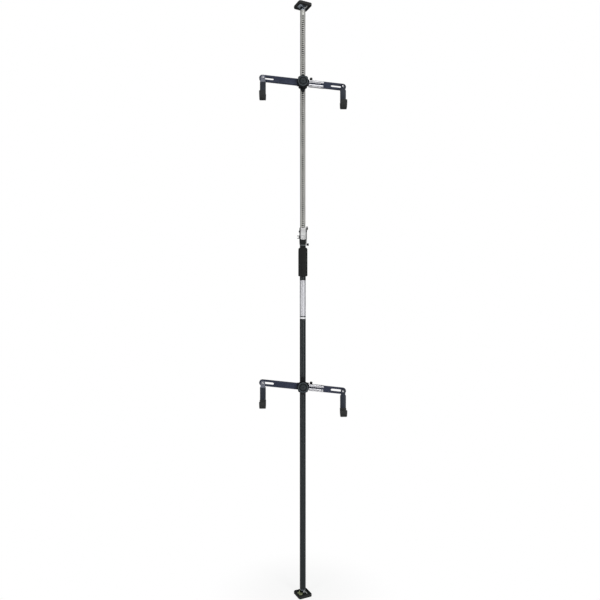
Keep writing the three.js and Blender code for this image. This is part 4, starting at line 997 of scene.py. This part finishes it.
    @staticmethod
    def bolt(name, pivot, colours):
        """A turned shoulder bolt with a collar and a head. Its profile is in millimetres.

        The socket follows a hexagon, whose radius is a / cos(angle to the nearest flat's middle).
        """
        low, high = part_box(name + "_bolt")
        reach = (high[1] - low[1]) / MM
        axis_at = high[1] / MM  # from the bolt's end to the pole's axis
        collar, head = axis_at + 41.8, axis_at + 50.4
        shank, collar_radius, head_radius, socket_radius = 4, 9.5, 5.6, 2.6
        profile = MM * soften([
            (0, 0), (3.4, 0), (shank, 0.6), (shank, collar), (collar_radius, collar), (collar_radius, collar + 3),
            (shank, collar + 3), (shank, head), (head_radius, head), (5.4, head + 2.2), (3.6, reach),
            (socket_radius, reach), (2.5, reach - 2.2), (0, reach - 2.4),
        ], 0.5)
        hexagon_share = 0.93

        def socket(radius, height, angle):
            """Hexagon radius inside the socket, round elsewhere."""
            nearest = (angle + math.pi / 6) % (math.pi / 3) - math.pi / 6
            inside = (radius < 2.8 * MM) & (height > head * MM)
            return np.where(inside, radius / np.cos(nearest) * hexagon_share, radius)

        rings = along_y(turned_rings(profile, 48, socket), (pivot[0], high[1], pivot[2]))
        swept_grid(name + "_shoulder_bolt", rings, name + "_slider", bright_steel(colours),
                   [name + "_bolt"])


class RACK_OT_stage(bpy.types.Operator):
    """Make the floor, the lamps, the world and the camera"""

    bl_idname = "rack.stage"
    bl_label = "Stage"

    def execute(self, context):
        scene = context.scene
        scene.view_settings.view_transform = "Standard"
        self.floor()
        self.world(scene)
        self.lamps(scene)
        self.camera(scene)
        return {"FINISHED"}

    @staticmethod
    def floor():
        """A round, pale floor that keeps a soft shadow and shows white to the camera."""
        radius, below, grey = 4.0, -0.2 * MM, 0.86
        turn = np.linspace(0, 2 * math.pi, 96, endpoint=False)
        points = np.stack([radius * np.cos(turn), radius * np.sin(turn), np.full_like(turn, below)], axis=-1)
        mesh = bpy.data.meshes.new("floor")
        mesh.from_pydata(points.tolist(), [], [list(range(len(turn)))])
        material = bpy.data.materials.new("pale_floor")
        material.use_nodes = True
        tree = material.node_tree
        shader = tree.nodes["Principled BSDF"]
        shader.inputs["Base Color"].default_value = (grey, grey, grey, 1.0)
        shader.inputs["Roughness"].default_value = 0.8
        shader.inputs["Specular IOR Level"].default_value = 0.1
        spot = add_node(tree, "ShaderNodeTexCoord").outputs["Object"]
        away = add_node(tree, "ShaderNodeVectorMath", {0: spot}, operation="LENGTH")
        shadow_from, shadow_to, glow_at_foot = 0.08, 0.5, 0.84
        fade = ramp(tree, away.outputs["Value"], shadow_from, shadow_to, glow_at_foot, interpolation_type="SMOOTHSTEP")
        rays = add_node(tree, "ShaderNodeLightPath")
        glow = add_node(tree, "ShaderNodeEmission")
        share = maths(tree, "MULTIPLY", rays.outputs["Is Camera Ray"], fade)
        both = add_node(tree, "ShaderNodeMixShader", {0: share, 1: shader.outputs["BSDF"], 2: glow.outputs["Emission"]})
        tree.links.new(both.outputs["Shader"], tree.nodes["Material Output"].inputs["Surface"])
        mesh.materials.append(material)
        obj = bpy.data.objects.new("floor", mesh)
        bpy.context.scene.collection.objects.link(obj)

    @staticmethod
    def world(scene):
        """A white surround for the camera, a soft grey one for light and a dark one for gloss."""
        world = bpy.data.worlds.new("studio")
        world.use_nodes = True
        scene.world = world
        tree = world.node_tree
        back = tree.nodes["Background"]
        back.inputs["Color"].default_value = (1.0, 1.0, 1.0, 1.0)
        rays = add_node(tree, "ShaderNodeLightPath")
        seen = maths(tree, "MAXIMUM", rays.outputs["Is Camera Ray"], rays.outputs["Is Transmission Ray"])
        soft_light, seen_in_gloss = 0.3, 0.025
        gloss = ramp(tree, rays.outputs["Is Glossy Ray"], 0.0, 1.0, soft_light, seen_in_gloss)
        tree.links.new(maths(tree, "MAXIMUM", seen, gloss), back.inputs["Strength"])

    @staticmethod
    def lamps(scene):
        """Soft lamps in front of the rack, to the right, to the left and above, and a weak one behind it.

        Each row is a name, a place, a target, a width and a height in metres, and a power in watts.
        """
        for name, place_at, target, width, height, power in (
            ("key", (1.9, -2.9, 1.9), (0, 0, 1.5), 1.3, 3.2, 80),
            ("fill", (-2.1, -2.6, 1.6), (0, 0, 1.4), 1.2, 3.0, 50),
            ("top", (0.2, -1.6, 4.2), (0, 0, 1.2), 2.4, 1.2, 30),
            ("back", (0.6, 2.8, 2.4), (0, 0, 1.4), 1.6, 1.6, 2),
        ):
            data = bpy.data.lights.new(name, "AREA")
            data.shape = "RECTANGLE"
            data.size = width
            data.size_y = height
            data.energy = power
            lamp = bpy.data.objects.new(name, data)
            scene.collection.objects.link(lamp)
            lamp.location = place_at
            aim = Vector(target) - Vector(place_at)
            lamp.rotation_euler = aim.to_track_quat("-Z", "Y").to_euler()

    @staticmethod
    def camera(scene):
        """A level camera half way up the pole, a little to its left. Distances are in metres."""
        azimuth, distance, height, leftward = math.radians(-1.0), 2.64, 1.4146, 0.0133
        back = Vector((math.sin(azimuth), -math.cos(azimuth), 0))
        right = Vector((math.cos(azimuth), math.sin(azimuth), 0))
        data = bpy.data.cameras.new("camera")
        data.lens = 33.0
        data.sensor_width = 36.0
        camera = bpy.data.objects.new("camera", data)
        scene.collection.objects.link(camera)
        camera.location = back * distance - right * leftward + Vector((0, 0, height))
        camera.rotation_euler = (-back).to_track_quat("-Z", "Y").to_euler()
        scene.camera = camera


class RACK_PT_panel(bpy.types.Panel):
    """Sidebar panel with the rack's sizes, colours and building steps"""

    bl_idname = "RACK_PT_panel"
    bl_label = "Pole Rack"
    bl_space_type = "VIEW_3D"
    bl_region_type = "UI"
    bl_category = "Pole Rack"

    def draw(self, context):
        sizes, colours = settings(context)
        for title, group_of in (("Sizes", sizes), ("Colours", colours)):
            box = self.layout.box()
            box.label(text=title)
            for key in group_of.__annotations__:
                box.prop(group_of, key)
        box = self.layout.box()
        box.label(text="Build")
        for operator in OPERATORS:
            box.operator(operator.bl_idname)


OPERATORS = (
    RACK_OT_tubes,
    RACK_OT_label,
    RACK_OT_feet,
    RACK_OT_jack,
    RACK_OT_clamps,
    RACK_OT_arms,
    RACK_OT_knobs,
    RACK_OT_hooks,
    RACK_OT_stage,
)
CLASSES = (RackSizes, RackColours, *OPERATORS, RACK_PT_panel)


def register():
    """Registers the classes and the scene's sizes and colours."""
    for cls in CLASSES:
        bpy.utils.register_class(cls)
    bpy.types.Scene.rack_sizes = PointerProperty(type=RackSizes)
    bpy.types.Scene.rack_colours = PointerProperty(type=RackColours)


def unregister():
    """Removes what register added."""
    del bpy.types.Scene.rack_colours
    del bpy.types.Scene.rack_sizes
    for cls in reversed(CLASSES):
        bpy.utils.unregister_class(cls)


def main():
    """Builds every group of pieces and the stage."""
    register()
    for operator in OPERATORS:
        area, action = operator.bl_idname.split(".")
        getattr(getattr(bpy.ops, area), action)()


if __name__ == "__main__":
    main()
